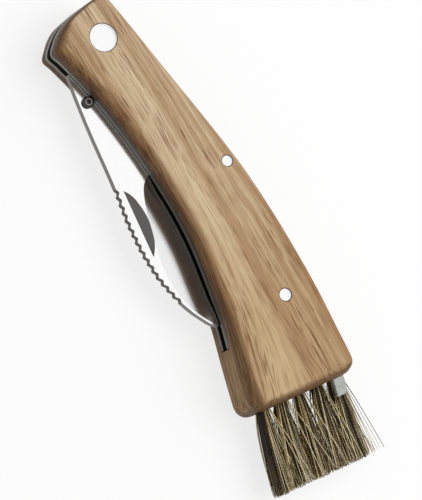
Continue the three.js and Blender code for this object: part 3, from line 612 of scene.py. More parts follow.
class Wood(Finish):
    """Oiled streaky hardwood. The grain runs along the handle and follows its back and its belly."""

    def __init__(self, name, seed):
        super().__init__(name)
        shift = self.add("CombineXYZ", *(seed * step for step in SEED_STEPS))
        x, y, z = self.parts(self.place)
        self.run = self.minus(x, PIVOT.x / MM)
        self.up = self.minus(y, PIVOT.y / MM)
        self.level = self.minus(z, HANDLE_TOP / MM)
        self.from_middle = self.maths("ABSOLUTE", self.minus(z, LAYERS_MIDDLE / MM))
        self.from_liner = self.minus(z, LINER_TOP / MM)
        # How far the back and the belly lie from where they are at the handle's middle
        short = self.maths("MAXIMUM", self.maths("DIVIDE", self.minus(BACK_RUN, self.run), BACK_RUN), 0.0)
        back_way = self.minus(BACK_LIFT, self.times(self.maths("POWER", short, 2.0), BACK_DROP))
        past = self.maths("MAXIMUM", self.minus(self.run, BELLY_MIDDLE), 0.0)
        belly_way = self.times(self.maths("POWER", past, 2.0), -BELLY_BEND)
        by_back = self.times(self.between(self.up, *BACK_REACH), back_way, BACK_FOLLOWED)
        by_belly = self.times(self.between(self.up, *BELLY_REACH), belly_way, BELLY_FOLLOWED)
        rise = self.times(self.maths("MINIMUM", self.minus(self.run, HEAD_RUN), 0.0), HEAD_RISE)
        waves = self.noise(self.shifted(self.stretched(self.place, WARP_STRETCH), shift), 1.0)
        self.warp = self.times(self.minus(waves, 0.5), WARP_SIZE)
        straight = self.minus(self.up, self.plus(self.plus(by_back, by_belly), rise))
        self.across = self.plus(straight, self.plus(self.times(self.level, LAYER_LEAN), self.warp))
        deep = self.times(z, GRAIN_DEPTH)
        grain = self.add("CombineXYZ", self.times(x, GRAIN_LENGTH), self.across, deep)
        self.grain = self.shifted(grain, shift)
        self.stripes = self.noise(self.grain, STRIPE_STRETCH, 3.0, 0.6)

    def striped(self, tones, window=STRIPE_WINDOW):
        return self.blend(self.between(self.stripes, *window), *tones)

    def slab(self, growth, tones, zone_depth):
        """The wood's own colour: growth bands, broad streaks and the dark growth zone."""
        base = self.blend(self.bands(self.across, growth), *tones)
        for factors, window, code, strength in BROAD_STREAKS:
            broad = self.streaks(self.grain, factors, window, 3.0)
            base = self.blend(self.times(broad, strength), base, code)
        golden = self.blend(1.0, base, GOLDEN_SHADE, "MULTIPLY")
        base = self.blend(self.between(self.run, *GOLDEN_RUN), base, golden)
        belly_side, back_side = (self.between(self.across, *span) for span in ZONE_SIDES)
        streaky = self.ranged(self.noise(self.grain, ZONE_STRETCH), *ZONE_STREAKS)
        zone = self.times(belly_side, back_side, self.between(self.run, *ZONE_RUN), streaky, zone_depth)
        return self.blend(zone, base, ZONE_TONE)

    def oiled_and_shaded(self, base, side, edge, end):
        """Darkens the edges, belly, back and the two ends, partly for oil and partly as painted shade on
        walls turned from the lamp; the belly's painted shade is deepest near the steel.
        """
        nx, ny, _ = self.parts(self.add("TexCoord", out="Normal"))
        belly = self.striped((side, BELLY_STRIPE))
        by_steel = self.blend(1.0, belly, STEEL_SHADE, "MULTIPLY")
        belly = self.blend(self.between(self.from_middle, *STEEL_DEPTH), belly, by_steel)
        # Painted shade on the wood just above the liner
        upper, lower = (self.between(self.from_liner, *span) for span in LINER_SHADE_SIDES)
        liner_shade = self.times(upper, self.between(self.run, *LINER_SHADE_RUN), lower, LINER_SHADE_STRENGTH)
        belly = self.blend(liner_shade, belly, LINER_SHADE_TONE)
        tail = self.striped(TAIL_TONES, (0.40, 0.60))
        belly = self.blend(self.between(self.run, *TAIL_RUN), belly, tail)
        rim = self.striped((self.blend(0.5, edge, EDGE_STRIPE), edge), (0.38, 0.62))
        near_belly, at_belly = (self.between(ny, *turn) for turn in BELLY_TURNS)
        base = self.blend(self.times(near_belly, BELLY_EDGE_STRENGTH), base, rim)
        base = self.blend(at_belly, base, belly)
        base = self.blend(self.times(self.between(ny, *BACK_TURN), BACK_EDGE_STRENGTH), base, rim)
        at_end = self.between(self.maths("ABSOLUTE", nx), *END_TURN)
        return self.blend(self.times(at_end, END_STRENGTH), base, end)

    def wrapped(self, base, zone_depth):
        """Beside the brush the dark zone wraps round the front scale's belly."""
        wrap_run, wrap_up = WRAP_PLACE
        slope = self.times(self.minus(self.run, wrap_run), WRAP_SLOPE)
        inner = self.plus(self.minus(self.up, wrap_up), slope)
        inside = self.between(self.plus(inner, self.times(self.warp, WRAP_WAVES)), *WRAP_EDGE)
        here = self.times(inside, self.between(self.run, *WRAP_RUN), self.between(self.level, *WRAP_DEPTH))
        return self.blend(self.times(here, zone_depth), base, self.striped(WRAP_TONES))

    def lined(self, base):
        """Thin reddish lines, most of them in patches, then pores and fibres along the grain."""
        patch = self.streaks(self.grain, *LINE_PATCHES)
        for factors, window, detail, rough, strengths, shade in THIN_LINES:
            lines = self.streaks(self.grain, factors, window, detail, rough)
            share = self.times(lines, self.ranged(patch, 0.0, 1.0, *strengths))
            base = self.blend(share, base, shade, "MULTIPLY")
        pores = self.streaks(self.grain, *PORES)
        base = self.blend(self.times(pores, PORE_STRENGTH), base, PORE_SHADE, "MULTIPLY")
        fibre = self.noise(self.grain, FIBRE_STRETCH)
        base = self.blend(FIBRE_STRENGTH, base, self.blend(fibre, *FIBRE_TONES), "OVERLAY")
        relief = self.minus(self.times(fibre, 0.5), pores)
        rough = self.ranged(fibre, *NOISE_WINDOW, *OILED_ROUGHNESS)
        return self.surface(Base_Color=base, Roughness=rough, Specular_IOR_Level=0.25,
                            Normal=self.bump(relief, 0.35, GRAIN_HEIGHT))


def wood(name, seed, growth, tones, side, edge, end, zone_depth=0.85):
    f = Wood(name, seed)
    base = f.oiled_and_shaded(f.slab(growth, tones, zone_depth), side, edge, end)
    return f.lined(f.wrapped(base, zone_depth))


# The belly, rim and end colours are darkened partly for oil and partly as painted shade on walls that face
# away from the lamp
scale_wood = {
    "rear_scale": wood("rear_scale_wood", 3, SCALE_BANDS, SCALE_TONES, "7a5a3a", "b48a5c", "6f5035", 0.4),
    "front_scale": wood("front_scale_wood", 1, SCALE_BANDS, SCALE_TONES, "745337", "b38a5d", "6f5035"),
}
slot_wood = wood("slot_wood", 5, BLOCK_BANDS, BLOCK_TONES, "6d5238", "6d5238", "6d5238")
HANDLE_OUTLINE = refined(loops_at("rear_scale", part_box("rear_scale")[1].z)[0])
ROUNDINGS = roundings(HANDLE_OUTLINE)
for _ in range(SOFTENING):
    following = ROUNDINGS[1:] + ROUNDINGS[:1]
    ROUNDINGS = [(ROUNDINGS[i - 1] + r + following[i]) / 3 for i, r in enumerate(ROUNDINGS)]


def radius_of(node):
    low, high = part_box(node)
    return (high.x - low.x) / 2


def middle_of(node):
    low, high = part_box(node)
    return (low + high) / 2


def pin_hole(node, low, high):
    """Rings of a through hole for a pin, with a small chamfer at each end."""
    radius = radius_of(node) + PIN_FIT
    profile = [(radius + wider, z) for z, wider in broken_edges(low, high, HOLE_CHAMFER)]
    return rings_round(middle_of(node), profile, turn=-1)


def rivet_hole(low, high, head_below):
    """Rings of the pivot's hole, with the recess for the rivet's head at the outer face."""
    head = radius_of("pivot_rivet_tube") + PIN_FIT
    recess = high - RECESS_DEPTH
    profile = [(PIVOT_HOLE_RADIUS, low), (PIVOT_HOLE_RADIUS, recess), (head, recess)]
    profile += [(head, high - HOLE_CHAMFER), (head + HOLE_CHAMFER, high)]
    if head_below:
        profile = [(radius, low + high - z) for radius, z in reversed(profile)]
    return rings_round(PIVOT, profile, turn=-1)


def along_slide(node):
    """How far a node of the tweezers reaches along, across and above its slide's axis."""
    spots = [vertex.co for vertex in frame["nodes"][node].data.vertices]
    spans = []
    for axis in (SLIDE_WAY, SLIDE_SIDE, UP):
        values = [spot.dot(axis) for spot in spots]
        spans.append((min(values), max(values)))
    return spans


def on_slide(along_way, side_way, z):
    point = SLIDE_WAY * along_way + SLIDE_SIDE * side_way
    return Vector((point.x, point.y, z))


def slot_cutter():
    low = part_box("front_scale")[0].z
    (start, _), _, _ = along_slide("tweezers_strip")
    (_, end), (_, back_side), (_, top) = along_slide("tweezers_head")
    start -= SLOT_END_GAP
    back_side += SLOT_FIT
    belly_side = back_side - GRIP_WIDTH - 2 * SLOT_FIT
    plan = [(start, belly_side), (end, belly_side), (end, back_side), (start, back_side)]
    rings = [[on_slide(a, b, z) for a, b in plan] for z in (low - MM, top + SLOT_FIT)]
    return solid("slot_cutter", [rings], [slot_wood])


for name, side in SCALES.items():
    low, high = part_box(name)
    thickness = high.z - low.z
    inner, outer = (low.z, high.z) if side > 0 else (high.z, low.z)
    rings = [level_ring(drawn_in(HANDLE_OUTLINE, INNER_CHAMFER), inner)]
    rings.append(level_ring(HANDLE_OUTLINE, inner + side * INNER_CHAMFER))
    for i in range(ROUND_STEPS + 1):
        turn = math.pi / 2 * i / ROUND_STEPS
        line = drawn_in(HANDLE_OUTLINE, [r * (1 - math.cos(turn)) for r in ROUNDINGS])
        rise = [thickness - r * (1 - math.sin(turn)) for r in ROUNDINGS]
        rings.append([Vector((p.x, p.y, inner + side * up)) for p, up in zip(line, rise)])
    rings.append(level_ring(drawn_in(HANDLE_OUTLINE, [r + FLAT_MARGIN for r in ROUNDINGS]), outer))
    if side < 0:
        rings.reverse()
    holes = [pin_hole(pin, low.z, high.z) for pin in ("spring_pin", "tail_pin")]
    holes.append(rivet_hole(low.z, high.z, side < 0))
    slab = solid(name.replace("scale", "wood_scale"), [rings, *holes], [scale_wood[name]])
    if side > 0:
        cut(slab, [slot_cutter()])
    fitted(slab, "handle", "scale_wood", name)

# Steel liners
# Two flat steel plates between the wood and the blade, held by the pins that go through all the layers.
# Their edges show along the belly, darkened there by painted shade beside the blade, and lighter round the
# head.
PLATE_CHAMFER = 0.08 * MM
LINE_HEIGHT = 0.008 * MM
DULLER, GLOSSIER = 1.3, 0.8
# From the head along the blade the edges turn darker: painted shade beside the blade
BLADE_SHADE_RUN = (-3.0, 11.0)
CLOUD_SIZE, CLOUD_WINDOW, CLOUD_TONE, CLOUD_STRENGTH = 0.35, (0.45, 0.7), "4a4843", 0.4


def steel(name, code, roughness, line_factors, line_strength=0.25, line_depth=0.12):
    """Ground or polished steel with fine lines, finest across the largest factor."""
    f = Finish(name)
    lines = f.noise(f.place, line_factors, 3.0, 0.6)
    tone = f.blend(f.between(lines, *NOISE_WINDOW), f.blend(line_depth, code, "000000"), code)
    rough = f.ranged(lines, *NOISE_WINDOW, roughness * GLOSSIER, roughness * DULLER)
    relief = f.bump(lines, line_strength, LINE_HEIGHT)
    return f.surface(Base_Color=tone, Metallic=1.0, Roughness=rough, Normal=relief)


def shaded_along_blade(name, head_code, shaded_code):
    """Steel that is lighter round the head and darker along the blade, as painted shade beside it, with
    darker cloudy patches.
    """
    f = Finish(name)
    x, _, _ = f.parts(f.place)
    lines = f.noise(f.place, (0.25, 9.0, 9.0), 3.0, 0.6)
    tone = f.blend(f.between(f.minus(x, PIVOT.x / MM), *BLADE_SHADE_RUN), head_code, shaded_code)
    clouds = f.times(f.streaks(f.place, CLOUD_SIZE, CLOUD_WINDOW, 3.0), CLOUD_STRENGTH)
    tone = f.blend(clouds, tone, CLOUD_TONE)
    rough = f.ranged(lines, *NOISE_WINDOW, 0.28, 0.46)
    relief = f.bump(lines, 0.25, LINE_HEIGHT)
    return f.surface(Base_Color=tone, Metallic=1.0, Roughness=rough, Normal=relief)


liner_steel = shaded_along_blade("liner_steel", "84837f", "63615b")


def plate(name, node, chamfer, finishes):
    """A flat plate with the node's own rims, and its edges broken by a small chamfer."""
    low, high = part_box(node)
    stacks = []
    for loop in loops_at(node, low.z):
        line = refined(loop)
        levels = broken_edges(low.z, high.z, chamfer)
        stacks.append([level_ring(drawn_in(line, inset), z) for z, inset in levels])
    return solid(name, stacks, finishes)


for node in ("rear_liner", "front_liner"):
    liner = plate(node.replace("liner", "steel_liner"), node, PLATE_CHAMFER, [liner_steel])
    fitted(liner, "handle", "liner_steel", node)

# Back spring
# A hardened steel bar between the liners, flush with the handle's back and held by the two through pins.
# It presses on the blade's tang and so holds the blade closed and open.
SPRING_CHAMFER = 0.12 * MM
spring_steel = steel("spring_steel", "8c8e8c", 0.34, (0.3, 8.0, 10.0))
spring = plate("spring_bar", "back_spring", SPRING_CHAMFER, [spring_steel])
fitted(spring, "handle", "spring_steel", "back_spring")

# Pivot washers
# Two thin rings of bronze, one on each side of the blade's tang.
# The tang turns against them, and the rivet passes through them.
WASHER_CHAMFER = 0.05 * MM
bronze = steel("washer_bronze", "b98a52", 0.36, (3.0, 3.0, 3.0))
for node in ("rear_washer", "front_washer"):
    washer = plate(node.replace("washer", "bronze_washer"), node, WASHER_CHAMFER, [bronze])
    fitted(washer, "handle", "washer_bronze", node)

# Blade
# A curved blade of 2 mm steel, mirror polished on its flats, sawn along its back and hollow ground to an
# edge that lies inside the handle. The nail nick is milled into its front flat. It turns on the rivet.
BLADE_LOW, BLADE_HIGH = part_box("blade")
BLADE_MIDDLE = (BLADE_HIGH.z + BLADE_LOW.z) / 2
HALF_THICK = (BLADE_HIGH.z - BLADE_LOW.z) / 2 / MM
TANG_RADIUS = 5.2
TANG_STEPS = 24
TANG_TAPER = 0.2
SHOULDER_AT = 3.9
SHOULDER_STEP, SHOULDER_ROUND = 0.001, 0.3
THINNEST = 0.01
# Lines in millimetres from the pivot: the back, the edge, where the grind starts, and the handle's belly
SPINE = [
    (3.88, -11.1), (11.8, -12.3), (20.1, -13.35), (29.7, -14.25), (35.6, -14.9), (40.1, -15.66),
    (44.5, -16.35), (48.7, -16.67), (52.75, -16.85), (56.8, -16.7), (61.1, -16.33), (65.4, -15.37),
    (69.6, -14.05), (73.0, -12.6), (75.2, -11.35), (77.6, -9.87), (79.0, -8.4),
]
EDGE = [
    (3.9, 5.0), (9.0, 4.8), (11.9, 4.2), (23.7, 3.6), (32.6, 3.0), (35.6, 2.4), (42.5, 0.9),
    (49.4, -0.9), (56.4, -2.6), (63.3, -4.3), (70.2, -6.0), (76.2, -7.4), (79.0, -8.0),
]
GRIND = [
    (32.6, 3.0), (35.6, -3.4), (37.6, -6.8), (40.5, -8.7), (44.4, -10.2), (49.4, -11.7), (54.6, -13.0),
    (60.0, -13.9), (65.0, -13.9), (70.2, -12.9), (74.5, -11.1), (79.0, -8.3),
]
COVERED = [
    (11.9, -8.6), (23.7, -6.3), (35.6, -4.9), (44.0, -4.3), (56.0, -4.3), (67.0, -5.6), (74.5, -6.7),
    (79.0, -8.0),
]
EDGE_HALF = 0.06
GRIND_FADE = 4.5
GRIND_STEPS = 36
# The hollow's slope at distances from the handle's belly, and while the grinding wheel plunges in
HOLLOW_SLOPES = [(0.0, 0.03), (1.6, 0.03), (3.0, 0.13), (4.0, 0.19), (5.2, 0.215), (6.3, 0.05), (8.0, 0.02)]
HOLLOW_STEP = 0.25
PLUNGE_SLOPE = 0.10
PLUNGE_ENDS = (40.0, 47.0)
SPINE_CHAMFER = 0.12
TEETH_FROM, TEETH_TO = 35.6, 69.2
TEETH_LEAD = 0.5
TOOTH_PITCH = 2.1
TOOTH_DEPTH = 0.55
TOOTH_SLOPE = 0.55
TOOTH_STEPS = 14
PLAIN_STEP = 0.6
NICK_STRAIGHT = [(36.9, -13.17), (55.5, -14.77)]
NICK_CURVE = [
    (36.9, -13.15), (38.4, -12.1), (40.8, -11.24), (46.1, -10.84), (51.06, -11.93), (53.0, -12.8),
    (54.7, -13.98), (55.5, -14.75),
]
NICK_DEPTH = 0.55
NICK_FULL = 1.2
NICK_SAG = 0.7
NICK_STEPS = 40
NICK_LEAST, NICK_LIP, NICK_OVERRUN = 0.02, 0.05, 0.5
STOP_FIT = 0.1 * MM


def height_on(line, x):
    """The line's height at one place, on a smooth curve through its points."""
    i = next((k for k in range(1, len(line)) if line[k][0] >= x), len(line) - 1)
    slopes = []
    for k in (i - 1, i):
        a, b = line[max(k - 1, 0)], line[min(k + 1, len(line) - 1)]
        slopes.append((b[1] - a[1]) / (b[0] - a[0]))
    (x0, y0), (x1, y1) = line[i - 1], line[i]
    width = x1 - x0
    return on_curve(clamped((x - x0) / width), y0, slopes[0] * width, y1, slopes[1] * width)


def tooth_dip(x):
    """How far the sawn back dips: each tooth falls gently towards the tip and rises steeply out again."""
    if not TEETH_FROM < x < TEETH_TO:
        return 0.0
    phase = (x - TEETH_FROM) / TOOTH_PITCH % 1.0
    rise = phase / TOOTH_SLOPE if phase < TOOTH_SLOPE else (1 - phase) / (1 - TOOTH_SLOPE)
    return TOOTH_DEPTH * (0.5 - 0.5 * math.cos(math.pi * rise))


def hollow(x, grind, y):
    """How deep the hollow is: its slope depends on the distance from the handle's belly."""
    belly = height_on(COVERED, x)
    plunge = PLUNGE_SLOPE * (1 - eased(x, *PLUNGE_ENDS))
    depth, here = 0.0, grind
    while here < min(y, belly):
        step = min(HOLLOW_STEP, y - here)
        away = min(belly - here, HOLLOW_SLOPES[-1][0])
        i = next(k for k in range(1, len(HOLLOW_SLOPES)) if HOLLOW_SLOPES[k][0] >= away)
        (a, slope_a), (b, slope_b) = HOLLOW_SLOPES[i - 1], HOLLOW_SLOPES[i]
        depth += step * max(slope_a + (slope_b - slope_a) * (away - a) / (b - a), plunge)
        here += step
    return depth


def blade_place(x, y, z):
    """A spot of the blade, given in millimetres from the pivot and from the blade's middle plane."""
    return Vector((PIVOT.x + x * MM, PIVOT.y + y * MM, BLADE_MIDDLE + z * MM))


def tang_height(x):
    return math.sqrt(max(TANG_RADIUS**2 - x * x, 0.0))


def blade_ring(x, spine):
    """One section of the blade: spine, flat, grind and edge, round both faces."""
    edge = tang_height(x) if x < 0 else TANG_RADIUS - TANG_TAPER * x / SHOULDER_AT
    if x >= SHOULDER_AT:
        edge = height_on(EDGE, x)
    grind = height_on(GRIND, x) if x > GRIND[0][0] else edge
    grind = clamped(grind, spine + 2 * SPINE_CHAMFER, edge)
    fade = eased(edge - grind, 0.0, GRIND_FADE)
    edge_half = HALF_THICK + (EDGE_HALF - HALF_THICK) * fade
    belly = min(height_on(COVERED, x), edge)
    chamfer = min(SPINE_CHAMFER, (edge - spine) / 4)
    front = [(spine, HALF_THICK - chamfer), (spine + chamfer, HALF_THICK), (grind, HALF_THICK)]
    for step in range(1, GRIND_STEPS + 1):
        y = grind + (edge - grind) * (step / GRIND_STEPS)
        here = max(HALF_THICK - hollow(x, grind, y) * fade, edge_half)
        hidden = clamped((y - belly) / max(edge - belly, THINNEST))
        front.append((y, here + (edge_half - here) * hidden))
    return [blade_place(x, y, z) for y, z in front + [(y, -z) for y, z in reversed(front)]]


def blade_stations():
    """Places along the blade and the spine's height there, finest along the teeth."""
    stations = []
    for i in range(TANG_STEPS + 1):
        x = -TANG_RADIUS * math.cos(math.pi / 2 * i / TANG_STEPS)
        stations.append((x, -max(tang_height(x), THINNEST)))
    stations += [(SHOULDER_AT, -TANG_RADIUS), (SHOULDER_AT + SHOULDER_STEP, SPINE[0][1] + SHOULDER_ROUND)]
    stations += [(SHOULDER_AT + SHOULDER_ROUND, height_on(SPINE, SHOULDER_AT))]
    x = SHOULDER_AT + PLAIN_STEP
    while x < SPINE[-1][0]:
        stations.append((x, height_on(SPINE, x) + tooth_dip(x)))
        x += TOOTH_PITCH / TOOTH_STEPS if TEETH_FROM - TEETH_LEAD < x < TEETH_TO else PLAIN_STEP
    return stations + [(SPINE[-1][0], height_on(SPINE, SPINE[-1][0]))]


# Across the bevel, in millimetres from the handle's belly: where it turns grey, partly satin and partly a
# painted reflection of the belly wall, and where it is honed bright
BEVEL_PAINTED_REFLECTION = (-6.2, -3.2)
BEVEL_HONED = (2.0, 3.0)
BELLY_LEVEL, BELLY_CURVE = -4.2, 0.0045


def bevel_with_painted_reflection():
    """The ground bevel: bright beside the flat, greyer towards the edge from a line set by the handle's
    belly, partly the grinding's satin and partly a painted reflection of the handle's dark belly wall; the
    edge is honed bright.
    """
    f = Finish("ground_bevel")
    x, y, _ = f.parts(f.place)
    run = f.minus(f.minus(x, PIVOT.x / MM), BELLY_MIDDLE)
    belly = f.minus(BELLY_LEVEL, f.times(run, run, BELLY_CURVE))
    inside = f.minus(f.minus(y, PIVOT.y / MM), belly)
    lines = f.noise(f.place, (9.0, 0.5, 1.0), 3.0, 0.6)
    bright = f.blend(f.between(lines, *NOISE_WINDOW), "eeeeee", "f8f8f8")
    tone = f.blend(f.between(inside, *BEVEL_PAINTED_REFLECTION), bright, "b3aea9")
    tone = f.blend(f.between(inside, *BEVEL_HONED), tone, "dadada")
    rough = f.ranged(lines, *NOISE_WINDOW, 0.16, 0.22)
    relief = f.bump(lines, 0.10, LINE_HEIGHT)
    return f.surface(Base_Color=tone, Metallic=1.0, Roughness=rough, Normal=relief)


def nick_cutter(finish):
    """A crescent: deepest at its straight side, running out to nothing at the curved one."""
    (xa, ya), (xb, yb) = NICK_STRAIGHT
    top = HALF_THICK + NICK_OVERRUN
    rings = []
    for i in range(NICK_STEPS + 1):
        t = i / NICK_STEPS
        x = xa + (xb - xa) * t
        straight = ya + (yb - ya) * t
        curve = max(height_on(NICK_CURVE, x), straight + NICK_LEAST)
        deepest = HALF_THICK - NICK_DEPTH * min(1.0, (curve - straight) / NICK_FULL)
        halfway = ((straight + curve) / 2, deepest * NICK_SAG + HALF_THICK * (1 - NICK_SAG))
        ring = [(straight, top), (straight, deepest), halfway, (curve, HALF_THICK), (curve + NICK_LIP, top)]
        rings.append([blade_place(x, y, z) for y, z in ring])
    return lofted("nick_cutter", rings, [finish])


polished = steel("polished_flat", "ffffff", 0.13, (1.2, 7.0, 1.0), 0.05, 0.05)
ground = bevel_with_painted_reflection()
sawn = steel("sawn_back", "8a8683", 0.45, (5.0, 5.0, 1.5), 0.4)
# The teeth are darker than the sawn back: partly filed steel, partly painted shade in the gullets
filed_and_shaded = steel("filed_teeth", "5c5855", 0.45, (5.0, 5.0, 1.5), 0.4)
milled = steel("milled_nick", "6d6967", 0.42, (11.0, 1.0, 1.0), 0.8)
BLADE_FINISHES = [polished, ground, sawn, filed_and_shaded]
SPINE_WALL, FLAT_CHAMFER, GROUND_FROM = -1, 0, 2
stations = blade_stations()
mesh = bmesh.new()
rows = [[mesh.verts.new(point) for point in blade_ring(x, spine)] for x, spine in stations]
count = len(rows[0])
for number, face in enumerate(joined_rows(mesh, rows)):
    row, k = divmod(number, count)
    strip = min(k, count - 2 - k) if k < count - 1 else SPINE_WALL
    if strip in (SPINE_WALL, FLAT_CHAMFER):
        finish = filed_and_shaded if TEETH_FROM < stations[row][0] < TEETH_TO else sawn
    else:
        finish = ground if strip >= GROUND_FROM else polished
    face.material_index = BLADE_FINISHES.index(finish)
mesh.faces.new(rows[0])
mesh.faces.new(rows[-1])
bmesh.ops.remove_doubles(mesh, verts=mesh.verts, dist=5 * WELD)
bmesh.ops.recalc_face_normals(mesh, faces=mesh.faces)
blade = piece("sawback_blade", mesh, BLADE_FINISHES)
stop_centre, stop_radius = middle_of("closing_stop_pin"), radius_of("closing_stop_pin")
cutters = [nick_cutter(milled)]
for centre, radius in ((PIVOT, PIVOT_HOLE_RADIUS), (stop_centre, stop_radius + STOP_FIT)):
    rings = rings_round(centre, [(radius, BLADE_LOW.z - MM), (radius, BLADE_HIGH.z + MM)])
    cutters.append(solid("hole_cutter", [rings], [sawn]))
fitted(cut(blade, cutters), "blade", "blade_steel", "blade")

# Closing stop pin
# A short turned steel pin, pressed through the blade.
# Closed, it lies against the liners' belly edges and keeps the edge off the spring.
# Tones across the pin's end, by share of its radius: painted shade on the rim and dimple, a painted
# highlight on the ring between
PIN_PAINTED_RINGS = [
    (0.0, "4a4643"), (0.38, "4a4643"), (0.46, "b8b4b0"), (0.66, "a29e9a"), (0.74, "4d4946"),
    (1.1, "3a3735"),
]
# Its end, as shares of its radius and drops in millimetres: a dimple, a rim and a rounded corner
PIN_END = [(0.30, 0.10), (0.42, 0.16), (0.56, 0.16), (0.68, 0.02), (0.84, 0.0), (0.93, 0.04), (1.0, 0.22)]
PIN_SIDES = 64
TURNED_LINES = 14.0


def turned_end_painted():
    """Turned steel with its end's relief painted on: a dark rim and a dark dimple as painted shade, and a
    bright ring between them as a painted highlight.
    """
    f = Finish("turned_pin")
    ring = f.maths("DIVIDE", f.from_axis(stop_centre), stop_radius / MM)
    lines = f.add("TexNoise", None, ring, TURNED_LINES, 2.0, noise_dimensions="1D")
    tone = f.bands(ring, PIN_PAINTED_RINGS)
    tone = f.blend(f.between(lines, *NOISE_WINDOW), f.blend(0.25, tone, "000000"), tone)
    return f.surface(Base_Color=tone, Metallic=1.0, Roughness=0.32, Normal=f.bump(lines, 0.2, 0.01 * MM))


def turned_pin(name, centre, profile, low, high, finish, sides=PIN_SIDES):
    """A pin with the same end at both sides, from its end's radii and drops."""
    rings = [(radius, low + drop) for radius, drop in profile]
    rings += [(radius, high - drop) for radius, drop in reversed(profile)]
    return solid(name, [rings_round(centre, rings, sides)], [finish])


stop_low, stop_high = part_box("closing_stop_pin")
profile = [(stop_radius * share, drop * MM) for share, drop in PIN_END]
pin = turned_pin("turned_stop_pin", stop_centre, profile, stop_low.z, stop_high.z, turned_end_painted())
fitted(pin, "blade", "pin_steel", "closing_stop_pin")

# Brush block
# The middle layer of wood, fitted behind the steel frame's tail and held between the two scales.
# The tufts are set in five bores in its end.
BORE_RADIUS = 1.8 * MM
BORE_DEPTH = 4 * MM
ANCHOR_DEPTH = 8.6 * MM
# The solid's wider bores break through its faces. Its rim is left out there, within these distances.
NOTCH_ENDS = (0.5 * MM, 2.0 * MM)
NOTCH_MARGIN = 3.2 * MM
TUFTS = 5
anchors = [middle_of(f"anchor_wire_{i + 1}") for i in range(TUFTS)]
row_way = (anchors[-1] - anchors[0]).normalized()
out_way = Vector((row_way.y, -row_way.x, 0))
roots = [anchor + out_way * ANCHOR_DEPTH for anchor in anchors]
row_length = (roots[-1] - roots[0]).length
# Its belly, rim and end colours are darkened partly for oil and partly as painted shade
block_wood = wood("block_wood", 7, BLOCK_BANDS, BLOCK_TONES, "b8925e", "b08e62", "7d5e40")


def bore_cutter(root):
    rings = []
    for reach in (-BORE_DEPTH, BORE_DEPTH):
        centre = root + out_way * reach
        turns = [2 * math.pi * i / HOLE_SIDES for i in range(HOLE_SIDES)]
        rings.append([centre + (row_way * math.cos(a) + UP * math.sin(a)) * BORE_RADIUS for a in turns])
    return lofted("bore_cutter", rings, [slot_wood])


def in_notch(point):
    outer, inner = ((roots[0] - out_way * end).dot(out_way) for end in NOTCH_ENDS)
    beside = (point - roots[0].xy).dot(row_way.xy)
    return inner < point.dot(out_way.xy) < outer and -NOTCH_MARGIN < beside < row_length + NOTCH_MARGIN


low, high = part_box("brush_block")
line = refined([point for point in loops_at("brush_block", low.z)[0] if not in_notch(point)])
levels = broken_edges(low.z, high.z, PLATE_CHAMFER)
stacks = [[level_ring(drawn_in(line, inset), z) for z, inset in levels]]
# Fault: the pin misses the block, so these rings close into a stray plug, hidden in the spring's bore
stacks.append(pin_hole("tail_pin", low.z, high.z))
block = solid("wood_brush_block", stacks, [block_wood])
fitted(cut(block, [bore_cutter(root) for root in roots]), "handle", "block_wood", "brush_block")

# Anchor wires
# A short steel wire across the bottom of each bore, pressed into the wood.
# It holds the folded root of its tuft.
anchor_steel = steel("anchor_wire_steel", "9a9a98", 0.35, (2.0, 2.0, 6.0))


def refinished(node, finish):
    """The node's own solid stays, in a finish of its own."""
    materials = frame["nodes"][node].data.materials
    materials.clear()
    materials.append(finish)


for i in range(TUFTS):
    refinished(f"anchor_wire_{i + 1}", anchor_steel)

# Bristle tufts
# Five folded tufts of natural bristle, dark at the root and pale towards the split tips, cut nearly
# straight. Each is drawn into its bore by its wire. Sizes are in millimetres.
STRANDS = 200
CLUMPS = 8
CLUMP_TURN = 2.4
CLUMP_START = 0.7
CLUMPING = 0.36
CLUMPING_RANGE = (0.6, 1.15)
STRAND_SIDES = 5
STRAND_STEPS = 7
STRAND_TAPER = 0.45
ROOT_RADIUS = 1.26
ROOT_DEPTH = 2.5
TIP_SPREAD = (3.55, 2.5)
BRISTLE_LENGTH = 22.0
EDGE_SHORTER = 0.5
TIP_PITCH = 5.85
TIP_LEAN = 3.4
TIP_SINK = 0.5
FLARE_AT = 0.30
FLARE_SHARES = (0.46, 0.42, 0.34, 0.36, 0.42)
BOLD_SHARE = 0.18
BOLD_RADIUS = (0.13, 0.17)
BOLD_PLACES = (0.02, 0.55, 0.80, 0.95)
STRAND_RADIUS = (0.09, 0.15)
STRAND_PLACES = (0.0, 0.0, 0.04, 0.08, 0.13, 0.20, 0.30, 0.42, 0.56, 0.72, 0.86)
STRAY_SHARE = 0.26
# How much the strands differ: strays and others sideways, in length, in height, and in their bend
STRAY_SPREAD, OWN_SPREAD, LENGTH_SPREAD, LIFT_SPREAD = 2.1, 0.6, 0.55, 0.2
BEND_SPREAD = (0.3, 0.2)
ROOM_LOW, ROOM_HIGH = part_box("tuft_1")
ROOM_BOTTOM = ROOM_LOW.z + 0.2 * MM
ROOM_TOP = ROOM_HIGH.z - 0.15 * MM
ROOM_BELLY = cad_box[0][1] + 0.15 * MM
ROOM_END = cad_box[1][0] - 0.1 * MM
